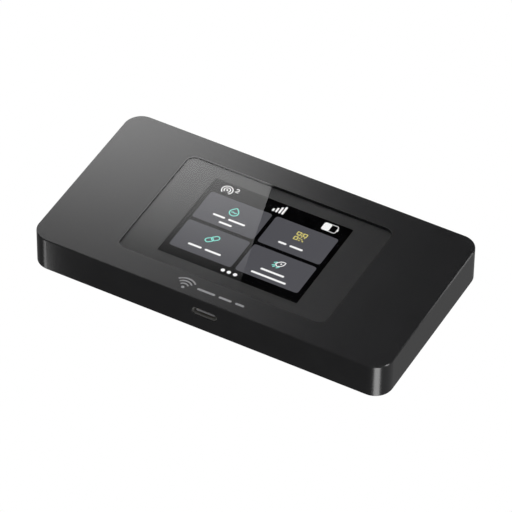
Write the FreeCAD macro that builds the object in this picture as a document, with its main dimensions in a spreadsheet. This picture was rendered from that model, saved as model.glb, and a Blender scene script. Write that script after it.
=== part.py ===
import FreeCAD, Part
import math
import os

import Sketcher

# A mobile hotspot: a flat slab with a recessed touch display, a USB-C port in its front
# wall, a SIM tray and a reset pinhole in its back wall and a power button in its left wall.
# Frame: the origin is the centre of the underside, +X is the long axis, +Y the back and
# +Z up. Every length is in millimetres.

SAME = 1e-4  # two lengths or volumes closer than this are the same
ROUTE_ERROR = 0.01  # share by which a flexible circuit's volume may miss its route's
CUT_THROUGH = 1.5  # both-way cut through a wall, in wall thicknesses
DRIVE_REACH = 1.2  # slots of a screw's drive, in head radii
CONTACTS = 12  # on each side of the port's tongue

SIZES = (
    # the case
    ("body_length", 130, "overall, along X"),
    ("body_width", 68.7, "overall, along Y"),
    ("body_height", 13, "overall, along Z"),
    ("corner_radius", 6.25, "corners of the case in plan"),
    ("top_edge_chamfer", 0.3, "edge round the top face"),
    ("foot_edge_chamfer", 0.15, "edge round the underside"),
    ("side_wall", 1.6, "side walls of the upper housing"),
    ("top_wall", 1.3, "top wall of the upper housing"),
    ("cover_thickness", 1.3, "rear cover"),
    ("cover_gap", 0.12, "rear cover to side walls"),
    ("cover_edge_chamfer", 0.2, "edge of the rear cover at the seam"),
    ("cover_lip_width", 1.0, "stiffening lip inside the rear cover"),
    ("cover_lip_height", 1.0, "stiffening lip inside the rear cover"),
    ("cover_lip_inset", 0.5, "lip to the rear cover's edge"),
    # the four case screws
    ("screw_inset_end", 8, "case screw axis to the end wall's outside"),
    ("screw_inset_side", 7, "case screw axis to the front or back wall's outside"),
    ("screw_radius", 0.8, "case screw thread"),
    ("screw_head_radius", 1.5, "case screw head"),
    ("screw_head_height", 0.7, "case screw head"),
    ("screw_head_depth", 0.25, "head below the rear cover's face"),
    ("screw_head_gap", 0.15, "head to its counterbore"),
    ("screw_gap", 0.12, "screw to a clearance hole"),
    ("drive_width", 0.5, "slots of a cross-head drive"),
    ("drive_depth", 0.4, "slots of a cross-head drive"),
    ("spacer_radius", 2.0, "rear cover's tube round each case screw"),
    ("boss_radius", 2.3, "housing boss over each case screw"),
    ("insert_radius", 1.3, "brass insert"),
    ("insert_height", 3.2, "brass insert"),
    ("thread_gap", 0.02, "screw to its threaded bore"),
    # the lens and its recess
    ("lens_length", 76.2, "opening for the lens, along X"),
    ("lens_width", 49.8, "opening for the lens, along Y"),
    ("lens_radius", 3.2, "corners of the opening"),
    ("lens_recess", 0.4, "lens below the top face"),
    ("lens_gap", 0.2, "lens to its opening"),
    ("glass_thickness", 0.9, "cover glass"),
    ("glass_chamfer", 0.12, "ground edge of the cover glass"),
    ("film_thickness", 0.1, "printed film behind the glass"),
    ("window_length", 51.4, "clear window in the film, along X"),
    ("window_width", 39.2, "clear window in the film, along Y"),
    ("window_radius", 0.3, "corners of the clear window"),
    ("tape_thickness", 0.15, "adhesive frame"),
    ("tape_inset", 0.3, "adhesive frame to the glass edge and the ledge edge"),
    ("ledge_width", 3.0, "ledge that carries the lens"),
    ("ledge_thickness", 0.8, "ledge that carries the lens"),
    ("ledge_rim", 1.6, "ledge's boss beyond the opening"),
    ("ledge_radius", 1.6, "corners of the ledge's window"),
    # the display
    ("display_length", 59.3, "display module, along X"),
    ("display_width", 42.2, "display module, along Y"),
    ("touch_thickness", 0.2, "touch sensor"),
    ("panel_thickness", 1.0, "liquid crystal cell"),
    ("backlight_thickness", 0.75, "backlight"),
    ("frame_sheet", 0.15, "sheet metal of the display frame and the cans"),
    # the chassis, board and battery
    ("port_below_top", 5.6, "axis of the USB-C port and the power button below the top face"),
    ("board_thickness", 0.8, "main board"),
    ("board_end", 13, "board's end to the case's end"),
    ("board_side", 2.35, "board's long edge to the case's side"),
    ("board_radius", 1.5, "board corners"),
    ("frame_plate", 0.8, "mid frame's plate"),
    ("frame_gap", 0.3, "mid frame to the side walls"),
    ("battery_tape", 0.15, "adhesive over the battery"),
    ("battery_tape_margin", 8, "adhesive to the battery's edges"),
    ("battery_room", 0.55, "room for the battery to swell, above the rear cover"),
    ("battery_end", 16, "battery's end to the case's end"),
    ("battery_front", 11.35, "battery to the case's front"),
    ("battery_back", 7.35, "battery to the case's back"),
    ("battery_radius", 2.0, "battery corners"),
    ("rib_gap", 0.4, "rib round the battery to the battery"),
    ("rib_wall", 0.9, "rib round the battery"),
    ("rib_room", 0.7, "rib's foot above the rear cover"),
    ("board_screw_end", 3, "board screw axis to the board's end"),
    ("board_screw_side", 2.5, "board screw axis to the board's long edge"),
    ("board_screw_radius", 0.7, "board screw thread"),
    ("board_screw_head", 1.3, "board screw head radius"),
    ("board_screw_head_height", 0.5, "board screw head"),
    ("board_screw_reach", 1.1, "board screw below the mid frame's plate"),
    ("board_boss_radius", 1.6, "mid frame's boss under a board screw"),
    ("board_boss_drop", 1.4, "mid frame's boss under a board screw"),
    ("spreader_thickness", 0.1, "graphite sheet on the shield cans"),
    ("spreader_gap", 0.1, "graphite sheet to the display"),
    ("modem_can_width", 28, "along Y"),
    ("modem_can_left", 9, "left edge from the middle"),
    ("modem_can_end", 13, "right edge to the board's end"),
    ("modem_can_place", -8, "middle, along Y"),
    ("modem_chip_side", 14, "square"),
    ("modem_pad_side", 12, "square"),
    ("wifi_can_length", 24, "along X"),
    ("wifi_can_width", 20, "along Y"),
    ("wifi_can_right", 4, "right edge left of the middle"),
    ("wifi_can_place", -10, "middle, along Y"),
    ("wifi_chip_side", 9, "square"),
    ("power_can_width", 13, "along Y"),
    ("power_can_right", 20, "right edge to the board's left end"),
    ("power_can_end", 4, "left edge to the board's left end"),
    ("power_can_place", 7.5, "middle, along Y"),
    ("power_chip_margin", 4.5, "chip to the can's left and right edges"),
    ("power_chip_width", 7, "along Y"),
    ("chip_height", 0.9, "chips under the cans"),
    # the USB-C receptacle
    ("port_width", 8.94, "receptacle shell, outside"),
    ("port_height", 3.2, "receptacle shell, outside"),
    ("port_sheet", 0.3, "receptacle shell"),
    ("port_depth", 7.35, "receptacle shell, front to back"),
    ("port_setback", 0.4, "shell behind the front face"),
    ("port_opening_gap", 0.16, "shell to the opening in the wall"),
    ("tongue_width", 6.7, "contact tongue"),
    ("tongue_thickness", 0.7, "contact tongue"),
    ("tongue_radius", 0.1, "long edges of the contact tongue"),
    ("tongue_setback", 0.6, "tongue behind the shell's mouth"),
    ("tongue_base", 1.6, "moulded block at the back of the shell"),
    ("contact_pitch", 0.5, "contacts on the tongue"),
    ("contact_width", 0.25, "contacts on the tongue"),
    ("contact_length", 4.2, "contacts on the tongue"),
    ("contact_thickness", 0.05, "contacts on the tongue"),
    # the power button
    ("button_length", 12, "power button, along Y"),
    ("button_height", 3.0, "power button, along Z"),
    ("button_place", 12, "power button's centre behind the middle"),
    ("button_proud", 0.4, "power button beyond the side wall"),
    ("button_travel", 0.35, "power button's stroke"),
    ("button_gap", 0.12, "power button to its opening"),
    ("button_crown", 0.25, "round edge of the power button"),
    ("flange_extra", 0.9, "flange beyond the button all round"),
    ("flange_thickness", 0.7, "flange behind the wall"),
    ("flange_gap", 0.05, "flange to the inside of the wall"),
    ("nib_length", 3.0, "nib that presses the switch, along Y"),
    ("nib_height", 1.6, "nib that presses the switch, along Z"),
    ("nib_depth", 0.75, "nib that presses the switch, along X"),
    ("nib_radius", 0.2, "corners of the nib"),
    ("plunger_radius", 0.7, "power switch plunger"),
    ("plunger_length", 1.0, "power switch plunger"),
    ("plunger_proud", 0.4, "power switch plunger beyond its body"),
    ("plunger_gap", 0.05, "a plunger to its bore"),
    ("plunger_room", 0.1, "space left behind a pressed plunger"),
    ("switch_depth", 1.5, "power switch body, along X"),
    ("switch_length", 4.4, "power switch body, along Y"),
    ("switch_height", 3.2, "power switch body, along Z"),
    ("button_board_thickness", 0.6, "small board behind the power switch"),
    ("button_board_length", 13, "small board behind the power switch"),
    ("button_board_height", 5.2, "small board behind the power switch"),
    ("backing_thickness", 1.0, "mid frame's upstand behind the small board"),
    ("notch_margin", 1.5, "mid frame's notch beyond the small board"),
    # the reset switch
    ("reset_place", 24, "reset pinhole to the right of the middle"),
    ("reset_hole_radius", 0.7, "reset pinhole"),
    ("reset_length", 3.5, "reset switch body, along X"),
    ("reset_depth", 2.3, "reset switch body, along Y"),
    ("reset_height", 1.7, "reset switch body, along Z"),
    ("reset_setback", 0.8, "reset switch body behind the board's edge"),
    ("reset_plunger_radius", 0.5, "reset switch plunger"),
    ("reset_plunger_length", 0.9, "reset switch plunger"),
    ("reset_plunger_proud", 0.45, "reset switch plunger beyond its body"),
    ("reset_travel", 0.25, "reset switch plunger's stroke"),
    # the SIM tray
    ("tray_place", -22, "SIM tray's middle from the case's middle"),
    ("tray_width", 10.4, "SIM tray, along X"),
    ("tray_depth", 17.4, "SIM tray behind its face plate, along Y"),
    ("tray_thickness", 0.9, "SIM tray, along Z"),
    ("tray_gap", 0.12, "SIM tray to its socket and slot"),
    ("tray_floor", 0.15, "tray's ledge under the card"),
    ("tray_ledge", 0.9, "tray's ledge under the card"),
    ("tray_end", 1.9, "tray's inner end beyond the card"),
    ("tray_radius", 0.3, "inside corners of the tray"),
    ("face_length", 13, "tray's face plate, along X"),
    ("face_height", 2.4, "tray's face plate, along Z"),
    ("nail_length", 7, "nail groove in the face plate"),
    ("nail_height", 0.8, "nail groove in the face plate"),
    ("nail_depth", 0.7, "nail groove in the face plate"),
    ("card_length", 12.3, "SIM card, along Y"),
    ("card_width", 8.8, "SIM card, along X"),
    ("card_thickness", 0.67, "SIM card"),
    ("card_gap", 0.1, "SIM card to its pocket"),
    ("card_notch", 1.6, "cut corner of the SIM card"),
    ("socket_floor", 0.2, "SIM socket's plastic base"),
    ("socket_sheet", 0.15, "SIM socket's metal shell"),
    ("socket_edge", 0.2, "SIM socket behind the board's edge"),
    ("sim_spring_rise", 0.08, "SIM contacts above the socket's base"),
    ("sim_spring_length", 1.8, "SIM contacts, along X"),
    ("sim_spring_width", 1.0, "SIM contacts, along Y"),
    ("sim_spring_column", 2.4, "SIM contacts either side of the card's middle"),
    ("sim_spring_pitch", 2.54, "SIM contacts, along Y"),
    # flexible circuits
    ("flex_thickness", 0.15, "flexible circuits"),
    ("flex_bend", 0.5, "bends of the flexible circuits"),
    ("connector_height", 1.0, "connectors on the board"),
    ("connector_depth", 3.0, "connectors on the board, along X"),
    ("tail_reach", 3.35, "bends of the display's circuits beyond the display"),
    ("tail_landing", 2, "circuit's bend to its connector"),
    ("display_tail_width", 10, "display's circuit, along Y"),
    ("display_tail_place", -12, "display's circuit, along Y from the middle"),
    ("touch_tail_width", 6, "touch sensor's circuit, along Y"),
    ("touch_tail_place", 14, "touch sensor's circuit, along Y from the middle"),
    ("battery_tail_width", 8, "battery's circuit, along Y"),
    ("battery_tail_gap", 0.5, "battery's circuit to its slots, along Y"),
    ("button_tail_width", 4, "power switch's circuit, along Y"),
    ("button_tail_landing", 2, "power switch's circuit on the board"),
    # antennas
    ("carrier_gap", 0.5, "antenna carrier to the end wall"),
    ("carrier_inner", 11.5, "antenna carrier's inner face to the case's end"),
    ("carrier_top_gap", 0.4, "antenna carrier to the top wall"),
    ("antenna_thickness", 0.12, "antenna films"),
    ("antenna_margin", 0.7, "antenna film to its carrier's edge"),
    ("carrier_clearance", 5, "antenna carriers to the bosses and the small board"),
    ("wifi_height", 3.0, "antenna films on the back wall, along Z"),
    ("wifi_clearance", 2, "antenna films to the SIM tray's face plate"),
    ("spring_sheet", 0.15, "antenna contact springs"),
    ("spring_width", 1.2, "antenna contact springs"),
    ("spring_foot", 1.5, "antenna contact springs on the board"),
    ("spring_touch", 0.5, "height of a spring's arm on its film"),
    ("end_spring_place", -8, "springs to the carriers, along Y from the middle"),
    ("back_spring_inset", 2, "springs to the back films from the films' inner ends"),
    # the label
    ("label_length", 56, "rear label, along X"),
    ("label_width", 30, "rear label, along Y"),
    ("label_thickness", 0.1, "rear label and its recess"),
    ("label_gap", 0.1, "rear label to its recess"),
    ("label_radius", 1.0, "corners of the label's recess"),
)

doc = FreeCAD.newDocument("mobile_hotspot")
sheet = doc.addObject("Spreadsheet::Sheet", "dims")
for row, (name, value, note) in enumerate(SIZES, start=1):
    sheet.set(f"A{row}", name)
    sheet.set(f"B{row}", str(value))
    sheet.setAlias(f"B{row}", name)
    sheet.set(f"C{row}", note)
doc.recompute()


class Size:
    """A length that knows both its value and the sheet expression that gives it."""

    def __init__(self, value, text):
        self.value = value
        self.text = text

    def __add__(self, other):
        other = as_size(other)
        return Size(self.value + other.value, f"({self.text} + {other.text})")

    def __sub__(self, other):
        other = as_size(other)
        return Size(self.value - other.value, f"({self.text} - {other.text})")

    def __mul__(self, factor):
        return Size(self.value * factor, f"({self.text} * {factor})")

    def __truediv__(self, factor):
        return Size(self.value / factor, f"({self.text} / {factor})")

    def __neg__(self):
        return self * -1

    __rmul__ = __mul__


def as_size(value):
    """A Size from a Size or from a plain number."""
    return value if isinstance(value, Size) else Size(value, f"({value})")


class Sizes:
    """The sheet's cells by name, each as a Size."""

    def __init__(self):
        for name, _, _ in SIZES:
            setattr(self, name, Size(float(getattr(sheet, name)), f"dims.{name}"))


d = Sizes()
nodes = []


# ---- building blocks ---------------------------------------------------------------------------


def bind(item, prop, size):
    """Tie a property of a document object to the sheet."""
    item.setExpression(prop, as_size(size).text)


def place(item, x, y, z):
    for axis, size in zip("xyz", (x, y, z)):
        bind(item, f"Placement.Base.{axis}", size)


def as_node(item, name):
    """Give an object its own label and hand it in as a piece."""
    item.Label = name
    nodes.append(item)
    return item


def new_body(name):
    return as_node(doc.addObject("PartDesign::Body", name), name)


def new_sketch(body, plane="XY_Plane", at=(0, 0, 0)):
    """A sketch on one of the body's origin planes, moved to the point at of the body's frame."""
    x, y, z = (as_size(size) for size in at)
    local = {"XY_Plane": (x, y, z), "XZ_Plane": (x, z, -y), "YZ_Plane": (y, z, x)}[plane]
    sketch = body.newObject("Sketcher::SketchObject", "outline")
    sketch.AttachmentSupport = [(item, "") for item in body.Origin.OriginFeatures if item.Role == plane]
    sketch.MapMode = "FlatFace"
    for axis, size in zip("xyz", local):
        bind(sketch, f"AttachmentOffset.Base.{axis}", size)
    return sketch


def dimension(sketch, kind, picks, size):
    """Add a named dimension that follows the sheet."""
    index = sketch.addConstraint(Sketcher.Constraint(kind, *picks, size.value))
    sketch.renameConstraint(index, f"size_{index}")
    bind(sketch, f"Constraints.size_{index}", size)


def rounded_rectangle(sketch, length, width, radius):
    """A rectangle with round corners about the sketch's origin."""
    length, width, radius = (as_size(size) for size in (length, width, radius))
    r = radius.value
    x = length.value / 2
    y = width.value / 2
    point = FreeCAD.Vector
    first = sketch.GeometryCount
    sketch.addGeometry(Part.LineSegment(point(r - x, -y), point(x - r, -y)))
    sketch.addGeometry(Part.LineSegment(point(x, r - y), point(x, y - r)))
    sketch.addGeometry(Part.LineSegment(point(x - r, y), point(r - x, y)))
    sketch.addGeometry(Part.LineSegment(point(-x, y - r), point(-x, r - y)))
    for corner, (side_x, side_y) in enumerate(((1, -1), (1, 1), (-1, 1), (-1, -1))):
        circle = Part.Circle(point(side_x * (x - r), side_y * (y - r)), point(0, 0, 1), r)
        start = (corner - 1) * math.pi / 2
        sketch.addGeometry(Part.ArcOfCircle(circle, start, start + math.pi / 2))
        arc = first + 4 + corner
        sketch.addConstraint(Sketcher.Constraint("Tangent", first + corner, 2, arc, 1))
        sketch.addConstraint(Sketcher.Constraint("Tangent", arc, 2, first + (corner + 1) % 4, 1))
        if corner:
            sketch.addConstraint(Sketcher.Constraint("Equal", first + 4, arc))
    sketch.addConstraint(Sketcher.Constraint("Horizontal", first))
    sketch.addConstraint(Sketcher.Constraint("Symmetric", first + 4, 3, first + 6, 3, -1, 1))
    dimension(sketch, "Radius", (first + 4,), radius)
    dimension(sketch, "DistanceX", (first + 3, 1, first + 1, 1), length)
    dimension(sketch, "DistanceY", (first, 1, first + 2, 1), width)


def round_ended_slot(sketch, length, height):
    """A slot with half-round ends about the sketch's origin."""
    length, height = as_size(length), as_size(height)
    r = height.value / 2
    x = length.value / 2 - r
    point = FreeCAD.Vector
    for side in (1, -1):
        sketch.addGeometry(Part.LineSegment(point(-side * x, -side * r), point(side * x, -side * r)))
        end = Part.Circle(point(side * x, 0), point(0, 0, 1), r)
        start = -side * math.pi / 2
        sketch.addGeometry(Part.ArcOfCircle(end, start, start + math.pi))
    for edge in range(4):
        sketch.addConstraint(Sketcher.Constraint("Tangent", edge, 2, (edge + 1) % 4, 1))
    sketch.addConstraint(Sketcher.Constraint("Horizontal", 0))
    sketch.addConstraint(Sketcher.Constraint("Symmetric", 1, 3, 3, 3, -1, 1))
    dimension(sketch, "Radius", (1,), height / 2)
    dimension(sketch, "DistanceX", (3, 3, 1, 3), length - height)


def circles(sketch, radius, x, y):
    """Four circles, one in each quarter, at x and y from the sketch's origin."""
    radius, x, y = (as_size(size) for size in (radius, x, y))
    for side_x in (-1, 1):
        for side_y in (-1, 1):
            centre = FreeCAD.Vector(side_x * x.value, side_y * y.value)
            circle = sketch.addGeometry(Part.Circle(centre, FreeCAD.Vector(0, 0, 1), radius.value))
            dimension(sketch, "Radius", (circle,), radius)
            along_x = (-1, 1, circle, 3) if side_x > 0 else (circle, 3, -1, 1)
            along_y = (-1, 1, circle, 3) if side_y > 0 else (circle, 3, -1, 1)
            dimension(sketch, "DistanceX", along_x, x)
            dimension(sketch, "DistanceY", along_y, y)


def pad(body, sketch, length, reverse=False):
    """Add material along the sketch's normal."""
    feature = body.newObject("PartDesign::Pad", "pad")
    feature.Profile = sketch
    feature.Reversed = reverse
    bind(feature, "Length", length)
    doc.recompute()
    return feature


def pocket(body, sketch, length, reverse=False, both_ways=False):
    """Remove material against the sketch's normal, or along it if reversed."""
    before = body.Shape.Volume
    feature = body.newObject("PartDesign::Pocket", "pocket")
    feature.Profile = sketch
    feature.Reversed = reverse
    if both_ways:
        feature.SideType = "Symmetric"
    bind(feature, "Length", length)
    doc.recompute()
    if not body.Shape.Volume < before - SAME:
        raise RuntimeError(f"a pocket of {body.Label} cuts nothing")
    return feature


def level_edges(shape, height):
    """The names of a shape's edges that lie at one height."""
    names = []
    for number, edge in enumerate(shape.Edges, start=1):
        box = edge.BoundBox
        if abs(box.ZMin - height) < SAME and abs(box.ZMax - height) < SAME:
            names.append(f"Edge{number}")
    return names


def dress(body, kind, edges, size):
    """Chamfer or fillet edges of the body's last feature."""
    base = body.Tip
    feature = body.newObject(f"PartDesign::{kind}", kind.lower())
    feature.Base = (base, edges)
    bind(feature, "Size" if kind == "Chamfer" else "Radius", size)
    doc.recompute()


def plate(name, length, width, radius, low, thickness, x=0, y=0):
    """A flat plate with round corners, its underside at low."""
    body = new_body(name)
    sketch = new_sketch(body)
    rounded_rectangle(sketch, length, width, radius)
    pad(body, sketch, thickness)
    place(body, x, y, low)
    return body


def box(name, size, low):
    """A box from its size and its lowest corner."""
    item = doc.addObject("Part::Box", name)
    for prop, length in zip(("Length", "Width", "Height"), size):
        bind(item, prop, length)
    place(item, *low)
    return item


def centred_box(name, size, centre):
    """A box centred in plan on a point, whose third coordinate is the box's underside."""
    length, width, _ = (as_size(value) for value in size)
    x, y, low = (as_size(value) for value in centre)
    return box(name, size, (x - length / 2, y - width / 2, low))


def cylinder(name, radius, height, at, axis=(0, 0, 1)):
    """A cylinder that starts at a point and runs along an axis."""
    item = doc.addObject("Part::Cylinder", name)
    bind(item, "Radius", radius)
    bind(item, "Height", height)
    item.Placement.Rotation = FreeCAD.Rotation(FreeCAD.Vector(0, 0, 1), FreeCAD.Vector(*axis))
    place(item, *at)
    return item


def cut(name, base, tool):
    item = doc.addObject("Part::Cut", name)
    item.Base = base
    item.Tool = tool
    return item


def fuse(name, pieces):
    item = doc.addObject("Part::MultiFuse", name)
    item.Shapes = pieces
    return item


def group(name, pieces):
    """Separate solids that share one node."""
    item = doc.addObject("Part::Compound", name)
    item.Links = pieces
    return as_node(item, name)


def flex_strip(name, width, y, route):
    """A flat strip of even thickness that follows a route of points in x and z, with rounded bends."""
    points = [FreeCAD.Vector(x.value, y.value, z.value) for x, z in route]
    bend = d.flex_bend.value
    half = d.flex_thickness.value / 2
    edges = []
    begin = points[0]
    length = 0
    for before, corner, after in zip(points, points[1:], points[2:]):
        into = (corner - before).normalize()
        away = (after - corner).normalize()
        turn = into.getAngle(away)
        setback = bend * math.tan(turn / 2)
        arc_start = corner - into * setback
        arc_end = corner + away * setback
        centre_line = (away - into).normalize()
        middle = corner + centre_line * (bend / math.cos(turn / 2) - bend)
        edges.append(Part.LineSegment(begin, arc_start).toShape())
        edges.append(Part.Arc(arc_start, middle, arc_end).toShape())
        length += begin.distanceToPoint(arc_start) + bend * turn
        begin = arc_end
    edges.append(Part.LineSegment(begin, points[-1]).toShape())
    length += begin.distanceToPoint(points[-1])
    start = (points[1] - points[0]).normalize()
    up = start.cross(FreeCAD.Vector(0, 1, 0)) * half
    across = FreeCAD.Vector(0, width.value / 2, 0)
    sides = ((-1, -1), (1, -1), (1, 1), (-1, 1))
    corners = [points[0] + side * across + face * up for side, face in sides]
    section = Part.makePolygon(corners + corners[:1])
    solid = Part.Wire(edges).makePipeShell([section], True, False)
    expected = width.value * 2 * half * length
    if abs(solid.Volume - expected) > ROUTE_ERROR * expected:
        raise RuntimeError(f"{name} doesn't follow its route")
    item = doc.addObject("Part::Feature", name)
    item.Shape = solid
    return as_node(item, name)


# ---- levels and lines that several pieces share ------------------------------------------------

half_length = d.body_length / 2
half_width = d.body_width / 2
inner_length = d.body_length - 2 * d.side_wall
inner_width = d.body_width - 2 * d.side_wall
inner_radius = d.corner_radius - d.side_wall
top_underside = d.body_height - d.top_wall

glass_top = d.body_height - d.lens_recess
glass_low = glass_top - d.glass_thickness
film_low = glass_low - d.film_thickness
ledge_top = film_low - d.tape_thickness
ledge_low = ledge_top - d.ledge_thickness
touch_low = film_low - d.touch_thickness
panel_low = touch_low - d.panel_thickness
backlight_low = panel_low - d.backlight_thickness
display_low = backlight_low - d.frame_sheet

port_level = d.body_height - d.port_below_top
board_low = port_level - d.board_thickness / 2
board_top = board_low + d.board_thickness
board_length = d.body_length - 2 * d.board_end
board_width = d.body_width - 2 * d.board_side
frame_low = board_low - d.frame_plate
cans_top = display_low - d.spreader_gap - d.spreader_thickness
can_height = cans_top - board_top

screw_x = half_length - d.screw_inset_end
screw_y = half_width - d.screw_inset_side
board_screw_x = board_length / 2 - d.board_screw_end
board_screw_y = board_width / 2 - d.board_screw_side

battery_length = d.body_length - 2 * d.battery_end
battery_width = d.body_width - d.battery_front - d.battery_back
battery_y = (d.battery_front - d.battery_back) / 2
battery_low = d.cover_thickness + d.battery_room
battery_thickness = frame_low - d.battery_tape - battery_low
battery_flex_x = board_length / 2 + d.flex_bend + d.flex_thickness

port_mouth = d.port_setback - half_width
port_back = port_mouth + d.port_depth

wall_inside = -half_length + d.side_wall
flange_x = wall_inside + d.flange_gap
nib_x = flange_x + d.flange_thickness
plunger_x = nib_x + d.nib_depth
switch_x = plunger_x + d.plunger_proud
button_board_x = switch_x + d.switch_depth
backing_x = button_board_x + d.button_board_thickness
button_board_low = port_level - d.button_board_height / 2

back_inside = half_width - d.side_wall
tray_low = board_top + d.socket_floor + d.tray_gap
tray_level = tray_low + d.tray_thickness / 2
tray_inner_end = back_inside - d.tray_depth
reset_level = board_top + d.reset_height / 2


# ---- case --------------------------------------------------------------------------------------


def make_upper_housing():
    """Top and side walls in one moulding, with the lens recess, bosses and wall openings."""
    body = new_body("upper_housing")
    sketch = new_sketch(body)
    rounded_rectangle(sketch, d.body_length, d.body_width, d.corner_radius)
    block = pad(body, sketch, d.body_height)
    dress(body, "Chamfer", level_edges(block.Shape, d.body_height.value), d.top_edge_chamfer)
    dress(body, "Chamfer", level_edges(body.Tip.Shape, 0), d.foot_edge_chamfer)

    sketch = new_sketch(body)
    rounded_rectangle(sketch, inner_length, inner_width, inner_radius)
    pocket(body, sketch, top_underside, reverse=True)

    sketch = new_sketch(body, at=(0, 0, ledge_low))
    boss_length = d.lens_length + 2 * d.ledge_rim
    boss_width = d.lens_width + 2 * d.ledge_rim
    rounded_rectangle(sketch, boss_length, boss_width, d.lens_radius + d.ledge_rim)
    pad(body, sketch, top_underside - ledge_low)

    sketch = new_sketch(body, at=(0, 0, board_low))
    circles(sketch, d.boss_radius, screw_x, screw_y)
    pad(body, sketch, top_underside - board_low)
    sketch = new_sketch(body, at=(0, 0, board_low))
    circles(sketch, d.insert_radius, screw_x, screw_y)
    pocket(body, sketch, d.insert_height, reverse=True)

    sketch = new_sketch(body, at=(0, 0, d.body_height))
    rounded_rectangle(sketch, d.lens_length, d.lens_width, d.lens_radius)
    pocket(body, sketch, d.body_height - ledge_top)
    sketch = new_sketch(body, at=(0, 0, ledge_top))
    window_length = d.lens_length - 2 * d.ledge_width
    window_width = d.lens_width - 2 * d.ledge_width
    rounded_rectangle(sketch, window_length, window_width, d.ledge_radius)
    pocket(body, sketch, d.ledge_thickness)

    wall_middle = half_width - d.side_wall / 2
    through = d.side_wall * CUT_THROUGH
    sketch = new_sketch(body, "XZ_Plane", at=(0, -wall_middle, port_level))
    gap = 2 * d.port_opening_gap
    round_ended_slot(sketch, d.port_width + gap, d.port_height + gap)
    pocket(body, sketch, through, both_ways=True)
    left_middle = d.side_wall / 2 - half_length
    sketch = new_sketch(body, "YZ_Plane", at=(left_middle, d.button_place, port_level))
    gap = 2 * d.button_gap
    round_ended_slot(sketch, d.button_length + gap, d.button_height + gap)
    pocket(body, sketch, through, both_ways=True)
    sketch = new_sketch(body, "XZ_Plane", at=(d.tray_place, wall_middle, tray_level))
    round_ended_slot(sketch, d.face_length + 2 * d.tray_gap, d.face_height + 2 * d.tray_gap)
    pocket(body, sketch, through, both_ways=True)
    sketch = new_sketch(body, "XZ_Plane", at=(d.reset_place, wall_middle, reset_level))
    outline = Part.Circle(FreeCAD.Vector(), FreeCAD.Vector(0, 0, 1), d.reset_hole_radius.value)
    pinhole = sketch.addGeometry(outline)
    sketch.addConstraint(Sketcher.Constraint("Coincident", pinhole, 3, -1, 1))
    dimension(sketch, "Radius", (pinhole,), d.reset_hole_radius)
    pocket(body, sketch, through, both_ways=True)


def make_rear_cover():
    """A flat plate inside the side walls, with a lip and a tube round each case screw."""
    body = new_body("rear_cover")
    length = inner_length - 2 * d.cover_gap
    width = inner_width - 2 * d.cover_gap
    radius = inner_radius - d.cover_gap
    sketch = new_sketch(body)
    rounded_rectangle(sketch, length, width, radius)
    outline = pad(body, sketch, d.cover_thickness)
    dress(body, "Chamfer", level_edges(outline.Shape, 0), d.cover_edge_chamfer)

    sketch = new_sketch(body, at=(0, 0, d.cover_thickness))
    for inset in (d.cover_lip_inset, d.cover_lip_inset + d.cover_lip_width):
        rounded_rectangle(sketch, length - 2 * inset, width - 2 * inset, radius - inset)
    pad(body, sketch, d.cover_lip_height)
    sketch = new_sketch(body, at=(0, 0, d.cover_thickness))
    circles(sketch, d.spacer_radius, screw_x, screw_y)
    pad(body, sketch, frame_low - d.cover_thickness)

    sketch = new_sketch(body)
    circles(sketch, d.screw_radius + d.screw_gap, screw_x, screw_y)
    pocket(body, sketch, frame_low, reverse=True)
    sketch = new_sketch(body)
    circles(sketch, d.screw_head_radius + d.screw_head_gap, screw_x, screw_y)
    pocket(body, sketch, d.screw_head_depth + d.screw_head_height, reverse=True)
    sketch = new_sketch(body)
    rounded_rectangle(sketch, d.label_length, d.label_width, d.label_radius)
    pocket(body, sketch, d.label_thickness, reverse=True)


def make_screw(name, x, y, low, high, radius, head_radius, head_height, head_up):
    """A cross-head screw from low to high on a vertical axis, its head at the top or the bottom."""
    head_low = high - head_height if head_up else low
    shank_low = low if head_up else low + head_height
    shank_length = high - low - head_height
    head = cylinder(f"{name}_head", head_radius, head_height, (x, y, head_low))
    shank = cylinder(f"{name}_shank", radius, shank_length, (x, y, shank_low))
    arm = head_radius * DRIVE_REACH
    slot_low = high - d.drive_depth if head_up else low
    slots = [
        centred_box(f"{name}_slot_x", (arm, d.drive_width, d.drive_depth), (x, y, slot_low)),
        centred_box(f"{name}_slot_y", (d.drive_width, arm, d.drive_depth), (x, y, slot_low)),
    ]
    return cut(name, fuse(f"{name}_blank", [head, shank]), fuse(f"{name}_drive", slots))


def quarters(x, y):
    """The four points at x and y either side of the middle."""
    return [(side_x * x, side_y * y) for side_x in (-1, 1) for side_y in (-1, 1)]


def make_case_screws():
    """Four screws through the rear cover and the mid frame into brass inserts in the bosses."""
    insert_top = board_low + d.insert_height
    screws = []
    inserts = []
    for number, (x, y) in enumerate(quarters(screw_x, screw_y), start=1):
        screws.append(
            make_screw(
                f"case_screw_{number}",
                x,
                y,
                d.screw_head_depth,
                insert_top,
                d.screw_radius,
                d.screw_head_radius,
                d.screw_head_height,
                head_up=False,
            )
        )
        foot = (x, y, board_low)
        sleeve = cylinder(f"insert_{number}_sleeve", d.insert_radius, d.insert_height, foot)
        bore_radius = d.screw_radius + d.thread_gap
        bore = cylinder(f"insert_{number}_bore", bore_radius, d.insert_height, foot)
        inserts.append(cut(f"insert_{number}", sleeve, bore))
    group("housing_screws", screws)
    group("threaded_inserts", inserts)


def make_label():
    length = d.label_length - 2 * d.label_gap
    width = d.label_width - 2 * d.label_gap
    plate("rear_label", length, width, d.label_radius - d.label_gap, 0, d.label_thickness)


# ---- lens and display --------------------------------------------------------------------------


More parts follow.
